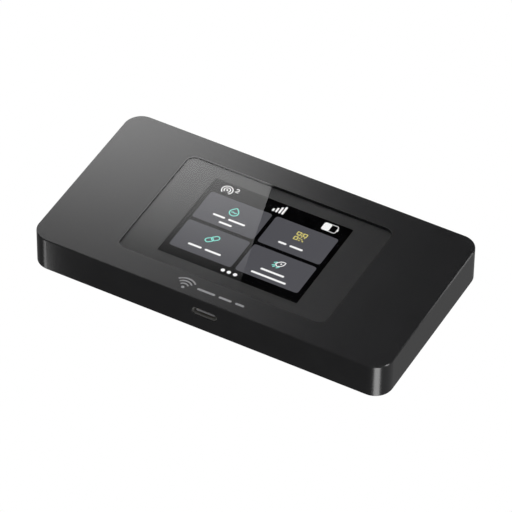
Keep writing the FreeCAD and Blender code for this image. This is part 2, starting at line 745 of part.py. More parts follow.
def make_lens():
    """Cover glass, the printed film behind it and the adhesive frame on the ledge."""
    length = d.lens_length - 2 * d.lens_gap
    width = d.lens_width - 2 * d.lens_gap
    radius = d.lens_radius - d.lens_gap
    glass = plate("cover_glass", length, width, radius, glass_low, d.glass_thickness)
    dress(glass, "Chamfer", level_edges(glass.Tip.Shape, d.glass_thickness.value), d.glass_chamfer)

    film = new_body("decor_film")
    sketch = new_sketch(film)
    rounded_rectangle(sketch, length, width, radius)
    pad(film, sketch, d.film_thickness)
    sketch = new_sketch(film, at=(0, 0, d.film_thickness))
    rounded_rectangle(sketch, d.window_length, d.window_width, d.window_radius)
    pocket(film, sketch, d.film_thickness)
    place(film, 0, 0, film_low)

    tape = new_body("glass_tape")
    outer_inset = d.lens_gap + d.tape_inset
    inner_inset = d.ledge_width - d.tape_inset
    sketch = new_sketch(tape)
    for inset in (outer_inset, inner_inset):
        rounded_rectangle(
            sketch,
            d.lens_length - 2 * inset,
            d.lens_width - 2 * inset,
            d.lens_radius - inset,
        )
    pad(tape, sketch, d.tape_thickness)
    place(tape, 0, 0, ledge_top)


def make_display():
    """Touch sensor, liquid crystal cell and backlight in a sheet metal frame."""
    size = (d.display_length, d.display_width)
    wall = d.frame_sheet
    inner = (d.display_length - 2 * wall, d.display_width - 2 * wall)
    layers = (
        ("touch_sensor", (*size, d.touch_thickness), touch_low),
        ("lcd_panel", (*inner, d.panel_thickness), panel_low),
        ("backlight", (*inner, d.backlight_thickness), backlight_low),
    )
    for name, layer, low in layers:
        as_node(centred_box(name, layer, (0, 0, low)), name)
    tray = (*size, panel_low - display_low)
    outside = centred_box("display_frame_outside", tray, (0, 0, display_low))
    room = (*inner, d.backlight_thickness)
    inside = centred_box("display_frame_inside", room, (0, 0, backlight_low))
    as_node(cut("display_frame", outside, inside), "display_frame")


def make_display_tails():
    """The display's and the touch sensor's flexible circuits, each with its connector on the board."""
    connector_top = board_top + d.connector_height
    end_level = connector_top + d.flex_thickness / 2
    tails = (
        (
            "display",
            -1,
            d.display_tail_width,
            d.display_tail_place,
            d.display_length / 2 - d.frame_sheet,
            panel_low + d.panel_thickness / 2,
        ),
        (
            "touch",
            1,
            d.touch_tail_width,
            d.touch_tail_place,
            d.display_length / 2,
            touch_low + d.touch_thickness / 2,
        ),
    )
    for name, side, width, y, edge, level in tails:
        start = side * edge
        bend = side * (d.display_length / 2 + d.tail_reach)
        end = bend + side * (d.connector_depth + d.tail_landing)
        flex_strip(
            f"{name}_flex",
            width,
            y,
            ((start, level), (bend, level), (bend, end_level), (end, end_level)),
        )
        size = (d.connector_depth, width, d.connector_height)
        centre = (end - side * d.connector_depth / 2, y, board_top)
        as_node(centred_box(f"{name}_connector", size, centre), f"{name}_connector")


# ---- chassis, board and battery ----------------------------------------------------------------


def make_mid_frame():
    """Plate between board and battery, with a rib round the battery and an upstand for the switch."""
    body = new_body("mid_frame")
    sketch = new_sketch(body, at=(0, 0, frame_low))
    length = inner_length - 2 * d.frame_gap
    rounded_rectangle(sketch, length, inner_width - 2 * d.frame_gap, inner_radius - d.frame_gap)
    pad(body, sketch, d.frame_plate)

    rib_drop = frame_low - d.cover_thickness - d.rib_room
    sketch = new_sketch(body, at=(0, battery_y, frame_low))
    for inset in (d.rib_gap + d.rib_wall, d.rib_gap):
        radius = d.battery_radius + inset
        rounded_rectangle(sketch, battery_length + 2 * inset, battery_width + 2 * inset, radius)
    pad(body, sketch, rib_drop, reverse=True)
    sketch = new_sketch(body, at=(0, 0, frame_low))
    circles(sketch, d.board_boss_radius, board_screw_x, board_screw_y)
    pad(body, sketch, d.board_boss_drop, reverse=True)

    sketch = new_sketch(body, at=(0, 0, board_low))
    circles(sketch, d.board_screw_radius + d.thread_gap, board_screw_x, board_screw_y)
    pocket(body, sketch, d.frame_plate + d.board_boss_drop)
    sketch = new_sketch(body, at=(0, 0, board_low))
    circles(sketch, d.screw_radius + d.screw_gap, screw_x, screw_y)
    pocket(body, sketch, d.frame_plate)

    port_room = d.port_width + 2 * d.frame_gap
    port_end = port_back + d.frame_gap + half_width
    sketch = new_sketch(body, at=(0, port_end / 2 - half_width, board_low))
    rounded_rectangle(sketch, port_room, port_end, d.frame_gap)
    pocket(body, sketch, d.frame_plate)

    notch_width = d.button_board_length + 2 * d.notch_margin
    notch_depth = backing_x + half_length
    sketch = new_sketch(body, at=(backing_x - notch_depth / 2, d.button_place, board_low))
    rounded_rectangle(sketch, notch_depth, notch_width, d.frame_gap)
    pocket(body, sketch, d.frame_plate)
    backing_middle = backing_x + d.backing_thickness / 2
    sketch = new_sketch(body, at=(backing_middle, d.button_place, button_board_low))
    rounded_rectangle(sketch, d.backing_thickness, d.button_board_length, d.frame_gap / 2)
    pad(body, sketch, d.button_board_height)

    slot_width = d.battery_tail_width + 2 * d.battery_tail_gap
    sketch = new_sketch(body, at=(battery_flex_x, battery_y, board_low))
    rounded_rectangle(sketch, d.flex_thickness + 2 * d.frame_gap, slot_width, d.frame_gap)
    pocket(body, sketch, d.frame_plate)
    rib_slot = battery_flex_x - battery_length / 2
    sketch = new_sketch(body, at=(battery_length / 2 + rib_slot / 2, battery_y, frame_low))
    rounded_rectangle(sketch, rib_slot, slot_width, d.frame_gap)
    pocket(body, sketch, rib_drop)


def make_main_board():
    body = new_body("main_board")
    sketch = new_sketch(body)
    rounded_rectangle(sketch, board_length, board_width, d.board_radius)
    pad(body, sketch, d.board_thickness)
    sketch = new_sketch(body, at=(0, 0, d.board_thickness))
    circles(sketch, d.board_screw_radius + d.screw_gap, board_screw_x, board_screw_y)
    pocket(body, sketch, d.board_thickness)
    notch_width = d.port_width + 2 * d.port_opening_gap
    notch_length = port_back + d.port_opening_gap + half_width
    sketch = new_sketch(body, at=(0, notch_length / 2 - half_width, d.board_thickness))
    rounded_rectangle(sketch, notch_width, notch_length, d.port_opening_gap)
    pocket(body, sketch, d.board_thickness)
    place(body, 0, 0, board_low)

    screws = []
    screw_low = frame_low - d.board_screw_reach
    for number, (x, y) in enumerate(quarters(board_screw_x, board_screw_y), start=1):
        screws.append(
            make_screw(
                f"board_screw_{number}",
                x,
                y,
                screw_low,
                board_top + d.board_screw_head_height,
                d.board_screw_radius,
                d.board_screw_head,
                d.board_screw_head_height,
                head_up=True,
            )
        )
    group("board_screws", screws)


def make_can(name, size_x, size_y, x, y):
    """A sheet metal can, open downwards, soldered to the board."""
    metal = d.frame_sheet
    outside = centred_box(f"{name}_outside", (size_x, size_y, can_height), (x, y, board_top))
    room = (size_x - 2 * metal, size_y - 2 * metal, can_height - metal)
    inside = centred_box(f"{name}_inside", room, (x, y, board_top))
    as_node(cut(name, outside, inside), name)


def make_board_parts():
    """Shield cans, the chips under them and the graphite sheet that spreads their heat."""
    modem_length = board_length / 2 - d.modem_can_left - d.modem_can_end
    modem_x = d.modem_can_left + modem_length / 2
    wifi_x = -d.wifi_can_right - d.wifi_can_length / 2
    power_length = d.power_can_right - d.power_can_end
    power_x = d.power_can_end + power_length / 2 - board_length / 2
    make_can("modem_can", modem_length, d.modem_can_width, modem_x, d.modem_can_place)
    make_can("wifi_can", d.wifi_can_length, d.wifi_can_width, wifi_x, d.wifi_can_place)
    make_can("power_can", power_length, d.power_can_width, power_x, d.power_can_place)

    power_chip_length = power_length - 2 * d.power_chip_margin
    chips = (
        ("modem_chip", d.modem_chip_side, d.modem_chip_side, modem_x, d.modem_can_place),
        ("wifi_chip", d.wifi_chip_side, d.wifi_chip_side, wifi_x, d.wifi_can_place),
        ("power_chip", power_chip_length, d.power_chip_width, power_x, d.power_can_place),
    )
    for name, length, width, x, y in chips:
        as_node(centred_box(name, (length, width, d.chip_height), (x, y, board_top)), name)
    pad_size = (d.modem_pad_side, d.modem_pad_side, can_height - d.frame_sheet - d.chip_height)
    pad_centre = (modem_x, d.modem_can_place, board_top + d.chip_height)
    as_node(centred_box("modem_pad", pad_size, pad_centre), "modem_pad")

    spreader_left = wifi_x - d.wifi_can_length / 2
    spreader_right = modem_x + modem_length / 2
    spreader_size = (spreader_right - spreader_left, d.modem_can_width, d.spreader_thickness)
    spreader_centre = ((spreader_left + spreader_right) / 2, d.modem_can_place, cans_top)
    as_node(centred_box("heat_spreader", spreader_size, spreader_centre), "heat_spreader")


def make_battery():
    """A flat pouch cell under the mid frame, its adhesive and its circuit to the board."""
    plate(
        "battery_cell",
        battery_length,
        battery_width,
        d.battery_radius,
        battery_low,
        battery_thickness,
        y=battery_y,
    )
    tape_low = frame_low - d.battery_tape
    tape_length = battery_length - 2 * d.battery_tape_margin
    tape_width = battery_width - 2 * d.battery_tape_margin
    size = (tape_length, tape_width, d.battery_tape)
    as_node(centred_box("battery_tape", size, (0, battery_y, tape_low)), "battery_tape")
    start_level = battery_low + battery_thickness / 2
    end_level = board_top + d.connector_height + d.flex_thickness / 2
    end = board_length / 2 - 2 * d.connector_depth
    route = (
        (battery_length / 2, start_level),
        (battery_flex_x, start_level),
        (battery_flex_x, end_level),
        (end, end_level),
    )
    flex_strip("battery_flex", d.battery_tail_width, battery_y, route)
    size = (d.connector_depth, d.battery_tail_width, d.connector_height)
    centre = (end + d.connector_depth / 2, battery_y, board_top)
    as_node(centred_box("battery_connector", size, centre), "battery_connector")


# ---- USB-C receptacle --------------------------------------------------------------------------


def make_port():
    """Shell, tongue with its moulded block, and twelve contacts on each side of the tongue."""
    shell = new_body("usb_c_shell")
    sketch = new_sketch(shell, "XZ_Plane", at=(0, port_mouth, port_level))
    round_ended_slot(sketch, d.port_width, d.port_height)
    pad(shell, sketch, d.port_depth, reverse=True)
    sketch = new_sketch(shell, "XZ_Plane", at=(0, port_mouth, port_level))
    round_ended_slot(sketch, d.port_width - 2 * d.port_sheet, d.port_height - 2 * d.port_sheet)
    pocket(shell, sketch, d.port_depth)

    tongue = new_body("usb_c_tongue")
    base_front = port_back - d.tongue_base
    sketch = new_sketch(tongue, "XZ_Plane", at=(0, base_front, port_level))
    round_ended_slot(sketch, d.port_width - 2 * d.port_sheet, d.port_height - 2 * d.port_sheet)
    pad(tongue, sketch, d.tongue_base, reverse=True)
    tongue_length = d.port_depth - d.tongue_base - d.tongue_setback
    sketch = new_sketch(tongue, "XZ_Plane", at=(0, base_front, port_level))
    rounded_rectangle(sketch, d.tongue_width, d.tongue_thickness, d.tongue_radius)
    pad(tongue, sketch, tongue_length)

    contacts = []
    for side in (-1, 1):
        face = port_level + side * d.tongue_thickness / 2
        low = face if side > 0 else face - d.contact_thickness
        for number in range(CONTACTS):
            x = d.contact_pitch * (number - (CONTACTS - 1) / 2)
            size = (d.contact_width, d.contact_length, d.contact_thickness)
            centre = (x, base_front - d.contact_length / 2, low)
            contacts.append(centred_box(f"contact_{len(contacts) + 1}", size, centre))
    group("usb_c_contacts", contacts)


# ---- power button and its switch ---------------------------------------------------------------


def make_power_button():
    """Round-ended cap in the left wall, with a flange that holds it and a nib for the switch."""
    body = new_body("power_button")
    outer_face = -half_length - d.button_proud
    sketch = new_sketch(body, "YZ_Plane", at=(outer_face, d.button_place, port_level))
    round_ended_slot(sketch, d.button_length, d.button_height)
    cap = pad(body, sketch, flange_x - outer_face)
    rim = []
    for number, edge in enumerate(cap.Shape.Edges, start=1):
        limits = edge.BoundBox
        if abs(limits.XMax - outer_face.value) < SAME:
            rim.append(f"Edge{number}")
    dress(body, "Fillet", rim, d.button_crown)
    sketch = new_sketch(body, "YZ_Plane", at=(flange_x, d.button_place, port_level))
    extra = 2 * d.flange_extra
    round_ended_slot(sketch, d.button_length + extra, d.button_height + extra)
    pad(body, sketch, d.flange_thickness)
    sketch = new_sketch(body, "YZ_Plane", at=(nib_x, d.button_place, port_level))
    rounded_rectangle(sketch, d.nib_length, d.nib_height, d.nib_radius)
    pad(body, sketch, d.nib_depth)


def make_power_switch():
    """Side push switch on a small board: a body with a bore, and the plunger in it."""
    size = (d.switch_depth, d.switch_length, d.switch_height)
    low = (switch_x, d.button_place - d.switch_length / 2, port_level - d.switch_height / 2)
    block = box("power_switch_block", size, low)
    bore_depth = d.plunger_length - d.plunger_proud + d.button_travel + d.plunger_room
    axis = (1, 0, 0)
    at = (switch_x, d.button_place, port_level)
    bore = cylinder("power_switch_bore", d.plunger_radius + d.plunger_gap, bore_depth, at, axis)
    as_node(cut("power_switch", block, bore), "power_switch")
    at = (plunger_x, d.button_place, port_level)
    as_node(cylinder("power_plunger", d.plunger_radius, d.plunger_length, at, axis), "power_plunger")
    size = (d.button_board_thickness, d.button_board_length, d.button_board_height)
    low = (button_board_x, d.button_place - d.button_board_length / 2, button_board_low)
    as_node(box("button_board", size, low), "button_board")
    start = button_board_x + d.button_board_thickness / 2
    over = backing_x + d.backing_thickness + d.flex_bend + d.flex_thickness
    top = button_board_low + d.button_board_height
    crest = top + 2 * d.flex_bend
    foot = board_top + d.flex_thickness / 2
    end = d.button_tail_landing - board_length / 2
    route = ((start, top), (start, crest), (over, crest), (over, foot), (end, foot))
    flex_strip("button_flex", d.button_tail_width, d.button_place, route)


# ---- reset switch ------------------------------------------------------------------------------


def make_reset_switch():
    """Small switch at the board's back edge, pressed with a pin through the pinhole."""
    face = board_width / 2 - d.reset_setback
    low = (d.reset_place - d.reset_length / 2, face - d.reset_depth, board_top)
    block = box("reset_switch_block", (d.reset_length, d.reset_depth, d.reset_height), low)
    bore_depth = d.reset_plunger_length - d.reset_plunger_proud + d.reset_travel + d.plunger_room
    radius = d.reset_plunger_radius + d.plunger_gap
    inward = (0, -1, 0)
    mouth = (d.reset_place, face, reset_level)
    bore = cylinder("reset_switch_bore", radius, bore_depth, mouth, inward)
    as_node(cut("reset_switch", block, bore), "reset_switch")
    at = (d.reset_place, face + d.reset_plunger_proud, reset_level)
    plunger = cylinder("reset_plunger", d.reset_plunger_radius, d.reset_plunger_length, at, inward)
    as_node(plunger, "reset_plunger")


# ---- SIM tray and socket -----------------------------------------------------------------------


def make_sim():
    """Tray with a nail groove, its card, and a socket of plastic base, metal shell and six contacts."""
    body = new_body("sim_tray")
    sketch = new_sketch(body, "XZ_Plane", at=(d.tray_place, half_width, tray_level))
    round_ended_slot(sketch, d.face_length, d.face_height)
    pad(body, sketch, d.side_wall)
    sketch = new_sketch(body, at=(d.tray_place, back_inside - d.tray_depth / 2, tray_low))
    rounded_rectangle(sketch, d.tray_width, d.tray_depth, d.tray_radius)
    pad(body, sketch, d.tray_thickness)
    pocket_length = d.card_length + 2 * d.card_gap
    pocket_width = d.card_width + 2 * d.card_gap
    card_y = tray_inner_end + d.tray_end + pocket_length / 2
    sketch = new_sketch(body, at=(d.tray_place, card_y, tray_low + d.tray_thickness))
    rounded_rectangle(sketch, pocket_width, pocket_length, d.tray_radius)
    pocket(body, sketch, d.tray_thickness - d.tray_floor)
    sketch = new_sketch(body, at=(d.tray_place, card_y, tray_low + d.tray_floor))
    hole_width = pocket_width - 2 * d.tray_ledge
    rounded_rectangle(sketch, hole_width, pocket_length - 2 * d.tray_ledge, d.tray_radius)
    pocket(body, sketch, d.tray_floor)
    sketch = new_sketch(body, "XZ_Plane", at=(d.tray_place, half_width, tray_level))
    round_ended_slot(sketch, d.nail_length, d.nail_height)
    pocket(body, sketch, d.nail_depth, reverse=True)

    card_low = tray_low + d.tray_floor
    card_size = (d.card_width, d.card_length, d.card_thickness)
    blank = centred_box("card_blank", card_size, (d.tray_place, card_y, card_low))
    corner = centred_box(
        "card_corner",
        (d.card_notch, d.card_notch, d.card_thickness),
        (d.tray_place + d.card_width / 2, card_y - d.card_length / 2, card_low),
    )
    as_node(cut("sim_card", blank, corner), "sim_card")

    clear_width = d.tray_width + 2 * d.tray_gap
    outer_width = clear_width + 2 * d.socket_sheet
    socket_front = tray_inner_end - d.socket_sheet - 2 * d.tray_gap
    socket_depth = board_width / 2 - d.socket_edge - socket_front
    socket_y = socket_front + socket_depth / 2
    base_size = (clear_width, socket_depth, d.socket_floor)
    base = centred_box("sim_base", base_size, (d.tray_place, socket_y, board_top))
    as_node(base, "sim_base")
    shell_height = d.socket_floor + d.tray_thickness + 2 * d.tray_gap + d.socket_sheet
    shell_size = (outer_width, socket_depth, shell_height)
    outside = centred_box("sim_shell_outside", shell_size, (d.tray_place, socket_y, board_top))
    room = (clear_width, socket_depth, shell_height - d.socket_sheet)
    inside = centred_box("sim_shell_inside", room, (d.tray_place, socket_y, board_top))
    as_node(cut("sim_shell", outside, inside), "sim_shell")

    springs = []
    spring_low = board_top + d.socket_floor
    spring_size = (d.sim_spring_length, d.sim_spring_width, d.sim_spring_rise)
    for column in (-1, 1):
        for step in (-1, 0, 1):
            x = d.tray_place + column * d.sim_spring_column
            at = (x, card_y + step * d.sim_spring_pitch, spring_low)
            springs.append(centred_box(f"sim_contact_{len(springs) + 1}", spring_size, at))
    group("sim_contacts", springs)


# ---- antennas ----------------------------------------------------------------------------------


def make_antennas():
    """A carrier with its film at each end, two films on the back wall and their springs."""
    depth = d.carrier_inner - d.side_wall - d.carrier_gap
    middle = half_length - d.side_wall - d.carrier_gap - depth / 2
    height = top_underside - d.carrier_top_gap - board_low
    boss_side = screw_y - d.boss_radius - d.carrier_clearance
    button_side = d.button_place - d.button_board_length / 2 - d.carrier_clearance
    ends = (
        ("right_carrier", "main_antenna", 1, boss_side),
        ("left_carrier", "second_antenna", -1, button_side),
    )
    for carrier, antenna, side, back in ends:
        width = back + boss_side
        x = side * middle
        y = (back - boss_side) / 2
        as_node(centred_box(carrier, (depth, width, height), (x, y, board_low)), carrier)
        film_size = (depth - 2 * d.antenna_margin, width - 2 * d.antenna_margin, d.antenna_thickness)
        as_node(centred_box(antenna, film_size, (x, y, board_low + height)), antenna)

    film_inner = d.face_length / 2 + d.wifi_clearance - d.tray_place
    film_length = inner_length / 2 - inner_radius - film_inner
    film_face = back_inside - d.antenna_thickness
    film_low = top_underside - d.carrier_top_gap - d.wifi_height
    films = []
    springs = []
    for side, name in ((-1, "left"), (1, "right")):
        size = (film_length, d.antenna_thickness, d.wifi_height)
        film_x = side * (film_inner + film_length / 2)
        centre = (film_x, back_inside - d.antenna_thickness / 2, film_low)
        films.append(centred_box(f"{name}_wifi_film", size, centre))

        carrier_face = half_length - d.carrier_inner
        y = d.end_spring_place
        reach = carrier_face - board_length / 2 + d.spring_foot
        foot_size = (reach, d.spring_width, d.spring_sheet)
        foot_centre = (side * (carrier_face - reach / 2), y, board_top)
        foot = centred_box(f"{name}_end_foot", foot_size, foot_centre)
        arm_size = (d.spring_sheet, d.spring_width, d.connector_height)
        arm_centre = (side * (carrier_face - d.spring_sheet / 2), y, board_top)
        arm = centred_box(f"{name}_end_arm", arm_size, arm_centre)
        springs.append(fuse(f"{name}_end_spring", [foot, arm]))

        x = side * (film_inner + d.back_spring_inset)
        reach = film_face - board_width / 2 + d.spring_foot
        foot_size = (d.spring_width, reach, d.spring_sheet)
        foot_centre = (x, film_face - reach / 2, board_top)
        foot = centred_box(f"{name}_back_foot", foot_size, foot_centre)
        arm_size = (d.spring_width, d.spring_sheet, film_low + d.spring_touch - board_top)
        arm_centre = (x, film_face - d.spring_sheet / 2, board_top)
        arm = centred_box(f"{name}_back_arm", arm_size, arm_centre)
        springs.append(fuse(f"{name}_back_spring", [foot, arm]))
    group("wifi_antennas", films)
    group("antenna_contacts", springs)


# ---- build, test and write ---------------------------------------------------------------------

make_upper_housing()
make_rear_cover()
make_case_screws()
make_label()
make_lens()
make_display()
make_display_tails()
make_mid_frame()
make_main_board()
make_board_parts()
make_battery()
make_port()
make_power_button()
make_power_switch()
make_reset_switch()
make_sim()
make_antennas()
doc.recompute()

for item in doc.Objects:
    if {"Invalid", "Error"} & set(item.State):
        raise RuntimeError(f"{item.Label} failed: {item.State}")
for item in nodes:
    if item.Shape.isNull() or not item.Shape.isValid() or not item.Shape.Solids:
        raise RuntimeError(f"{item.Label} has no valid shape")

os.makedirs("parts", exist_ok=True)
for item in nodes:
    item.Shape.exportStep(os.path.join("parts", f"{item.Label}.step"))
print(f"{len(nodes)} nodes written")
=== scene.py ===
"""Mobile hotspot: finishes, screen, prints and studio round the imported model."""

import math

import bmesh
import bpy

from mathutils import Matrix, Vector


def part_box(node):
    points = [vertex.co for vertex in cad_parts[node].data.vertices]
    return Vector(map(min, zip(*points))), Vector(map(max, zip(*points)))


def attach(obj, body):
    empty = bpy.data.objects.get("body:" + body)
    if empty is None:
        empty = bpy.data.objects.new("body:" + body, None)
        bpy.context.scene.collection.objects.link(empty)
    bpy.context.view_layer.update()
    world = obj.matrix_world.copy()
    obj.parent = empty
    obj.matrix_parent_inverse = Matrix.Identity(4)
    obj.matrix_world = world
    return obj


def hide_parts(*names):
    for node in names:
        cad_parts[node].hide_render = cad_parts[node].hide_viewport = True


bl_info = {
    "name": "Mobile Hotspot",
    "version": (1, 0, 0),
    "blender": (4, 5, 0),
    "location": "3D View > Sidebar > Hotspot",
    "description": "Finishes, screen, prints and studio of a mobile hotspot",
    "category": "Object",
}

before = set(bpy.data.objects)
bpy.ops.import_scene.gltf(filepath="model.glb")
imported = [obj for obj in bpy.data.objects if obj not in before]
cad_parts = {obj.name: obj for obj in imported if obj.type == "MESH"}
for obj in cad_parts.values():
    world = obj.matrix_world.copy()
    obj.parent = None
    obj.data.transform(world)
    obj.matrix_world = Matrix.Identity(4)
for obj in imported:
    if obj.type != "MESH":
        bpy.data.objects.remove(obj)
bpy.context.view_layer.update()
SLOT_OF = {name: item.material_slots[0].material.name for name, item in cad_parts.items()}

MM = 0.001
CASE_LOW, CASE_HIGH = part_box("upper_housing")
GLASS_LOW, GLASS_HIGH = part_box("cover_glass")
SCREEN_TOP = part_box("touch_sensor")[1].z
LABEL_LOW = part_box("rear_label")[0]
BUTTON_LOW, BUTTON_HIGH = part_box("power_button")
PRINT = 0.012 * MM  # thickness of one printed layer
LENS = [(high - low) / MM for low, high in zip(GLASS_LOW, GLASS_HIGH)][:2]
LENS_RADIUS = 3.0  # corners of the glass, millimetres as LENS
LENS_GAP = 0.2  # round the glass, in its opening
ARC_STEP = math.radians(10)


def linear(code):
    """Linear colour with alpha from an sRGB hex code."""
    parts = [int(code[start : start + 2], 16) / 255 for start in (1, 3, 5)]
    return (*[p / 12.92 if p <= 0.04045 else ((p + 0.055) / 1.055) ** 2.4 for p in parts], 1.0)


def colour_property(name, description, code):
    """A colour of the panel, its default an sRGB hex code."""
    return bpy.props.FloatVectorProperty(
        name=name,
        description=description,
        default=linear(code),
        size=4,
        min=0,
        max=1,
        subtype="COLOR",
    )


def length_property(name, description, default):
    """A length of the panel, in metres."""
    return bpy.props.FloatProperty(
        name=name,
        description=description,
        default=default,
        min=0,
        precision=5,
        subtype="DISTANCE",
        unit="LENGTH",
    )


def angle_property(name, description, degrees):
    """An angle of the panel, its default in degrees."""
    return bpy.props.FloatProperty(
        name=name,
        description=description,
        default=math.radians(degrees),
        subtype="ANGLE",
        unit="ROTATION",
    )


class HotspotFinishes(bpy.types.PropertyGroup):
    """Colours and grain of the case and the lens."""

    case: colour_property("Case", "Moulded top, walls and rear cover", "#212122")
    button: colour_property("Button", "Power button and SIM tray", "#19191a")
    ink: colour_property("Lens ink", "Print behind the glass round the screen", "#0e0e0f")
    mark: colour_property("Mark", "Print on the top and on the button", "#9a9a9c")
    label: colour_property("Label", "Film of the rear label", "#2a2b2d")
    grain: length_property("Grain", "Texture of the moulded case", 0.32 * MM)


class HotspotScreen(bpy.types.PropertyGroup):
    """Colours and sizes of what the screen shows."""

    tile: colour_property("Tile", "Four tiles", "#55555a")
    white: colour_property("White", "Captions, page dots and status row", "#ffffff")
    teal: colour_property("Teal", "Data and link icons", "#8ee8da")
    yellow: colour_property("Yellow", "Code icon", "#e6da80")
    tile_radius: length_property("Tile corners", "Corner radius of a tile", 1.0 * MM)
    line: length_property("Icon line", "Line width of the icons", 0.4 * MM)
    caption: length_property("Caption bar", "Height of a caption bar", 0.85 * MM)


class HotspotStudio(bpy.types.PropertyGroup):
    """Camera and lights."""

    azimuth: angle_property("Azimuth", "Camera round the object, front to right", 28.09)
    elevation: angle_property("Elevation", "Camera above the horizon", 43.58)
    roll: angle_property("Roll", "Camera about its own axis", 0.82)
    distance: length_property("Distance", "Camera to the middle of the object", 1.4351)
    softbox_reach: length_property("Softbox reach", "Softbox to the lens", 0.4)
    softbox_width: length_property("Softbox width", "Softbox from its sharp edge", 0.42)
    softbox_length: length_property("Softbox length", "Softbox along its sharp edge", 0.6)


# ---- meshes in plan: outlines in millimetres, made into thin plates ------------------


def arc(x, y, radius, start, end):
    """Points of an arc, its angles in degrees."""
    start, end = math.radians(start), math.radians(end)
    count = max(2, math.ceil(abs(end - start) / ARC_STEP))
    turns = [start + (end - start) * step / count for step in range(count + 1)]
    return [(x + radius * math.cos(turn), y + radius * math.sin(turn)) for turn in turns]


def rounded(x, y, length, width, radius):
    """Outline of a rectangle with round corners about a centre."""
    a, b = length / 2 - radius, width / 2 - radius
    points = []
    for corner, (side_x, side_y) in enumerate(((1, 1), (-1, 1), (-1, -1), (1, -1))):
        start = 90 * corner
        points += arc(x + side_x * a, y + side_y * b, radius, start, start + 90)
    return points


def circle(x, y, radius):
    """Outline of a disc."""
    return arc(x, y, radius, 0, 360)[:-1]


def turned(points, degrees, x, y):
    """Points turned about the origin and moved to x, y."""
    c, s = math.cos(math.radians(degrees)), math.sin(math.radians(degrees))
    return [(x + c * px - s * py, y + s * px + c * py) for px, py in points]


def sides_of(path, closed):
    """Unit normals along a path of points, to its left."""
    normals = []
    last = len(path) - 1
    for index in range(len(path)):
        before = path[index - 1] if closed or index else path[index]
        after = path[(index + 1) % len(path)] if closed or index < last else path[index]
        dx, dy = after[0] - before[0], after[1] - before[1]
        length = math.hypot(dx, dy)
        normals.append((-dy / length, dx / length))
    return normals


def line(path, width):
    """Outline of a line of even width with round ends."""
    half = width / 2
    normals = sides_of(path, False)
    left = [(x + half * nx, y + half * ny) for (x, y), (nx, ny) in zip(path, normals)]
    right = [(x - half * nx, y - half * ny) for (x, y), (nx, ny) in zip(path, normals)]
    turn = math.degrees(math.atan2(normals[-1][1], normals[-1][0]))
    head = arc(*path[-1], half, turn, turn - 180)[1:-1]
    turn = math.degrees(math.atan2(-normals[0][1], -normals[0][0]))
    tail = arc(*path[0], half, turn, turn - 180)[1:-1]
    return left + head + right[::-1] + tail


def ring(path, width):
    """A closed line of even width, as its outer and inner outlines."""
    half = width / 2
    normals = sides_of(path, True)
    one = [(x + half * nx, y + half * ny) for (x, y), (nx, ny) in zip(path, normals)]
    other = [(x - half * nx, y - half * ny) for (x, y), (nx, ny) in zip(path, normals)]
    return one, other


def plate(name, shapes, low, high, place=None):
    """A mesh of thin plates from low to high. A shape is an outline or a ring's two outlines."""
    points, faces = [], []

    def wall(bottom, top, count):
        for index in range(count):
            after = (index + 1) % count
            faces.append((bottom + index, bottom + after, top + after, top + index))

    for shape in shapes:
        is_ring = isinstance(shape, tuple)
        outlines = shape if is_ring else (shape,)
        count = len(outlines[0])
        starts = []
        for outline in outlines:
            for level in (low, high):
                starts.append(len(points))
                points += [(x * MM, y * MM, level) for x, y in outline]
        for bottom, top in zip(starts[::2], starts[1::2]):
            wall(bottom, top, count)
        if is_ring:
            wall(starts[0], starts[2], count)
            wall(starts[1], starts[3], count)
        else:
            faces.append(tuple(range(starts[0], starts[0] + count)))
            faces.append(tuple(range(starts[1], starts[1] + count)))
    return mesh_object(name, points, faces, place)


def mesh_object(name, points, faces, place=None):
    """An object from points and faces, with its faces turned outwards."""
    mesh = bpy.data.meshes.new(name)
    if place:
        points = [place @ Vector(point) for point in points]
    mesh.from_pydata(points, [], faces)
    shell = bmesh.new()
    shell.from_mesh(mesh)
    bmesh.ops.recalc_face_normals(shell, faces=shell.faces)
    shell.to_mesh(mesh)
    shell.free()
    mesh.update()
    item = bpy.data.objects.new(name, mesh)
    bpy.context.scene.collection.objects.link(item)
    return item


def own(item, material, body):
    """Give a new piece its material and its body."""
    item.data.materials.append(material)
    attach(item, body)
    return item


# ---- materials ---------------------------------------------------------------------------


def add(tree, kind, inputs=None, **settings):
    """Add a node, set its properties, and set or link its inputs."""
    item = tree.nodes.new(kind)
    for key, value in settings.items():
        setattr(item, key, value)
    for key, value in (inputs or {}).items():
        if isinstance(value, bpy.types.NodeSocket):
            tree.links.new(value, item.inputs[key])
        else:
            item.inputs[key].default_value = value
    return item


def new_tree(name):
    """A material with an empty node tree."""
    material = bpy.data.materials.new(name)
    material.use_nodes = True
    material.node_tree.nodes.clear()
    return material, material.node_tree


def show(tree, shader):
    """Make a shader the one that the material shows."""
    add(tree, "ShaderNodeOutputMaterial", {"Surface": shader.outputs[0]})


def span(value, start, end, low, high):
    """Inputs that carry start..end of a value over to low..high."""
    return {"Value": value, "From Min": start, "From Max": end, "To Min": low, "To Max": high}


def unevenness(tree, size):
    """A natural unevenness, 0.3 to 0.7 for the most part, with features of about size metres."""
    spot = add(tree, "ShaderNodeTexCoord").outputs["Object"]
    inputs = {"Vector": spot, "Scale": 1 / size, "Detail": 2.0}
    return add(tree, "ShaderNodeTexNoise", inputs).outputs[0]


def shaded(tree, colour, amount, uneven):
    """A colour made darker and lighter by an unevenness, by a share of itself."""
    dark = tuple(part * (1 - amount) for part in colour[:3]) + (1.0,)
    light = tuple(min(1, part * (1 + amount)) for part in colour[:3]) + (1.0,)
    share = add(tree, "ShaderNodeMapRange", span(uneven, 0.3, 0.7, 0, 1)).outputs[0]
    mix = add(tree, "ShaderNodeMix", {0: share, 6: dark, 7: light}, data_type="RGBA")
    return mix.outputs[2]


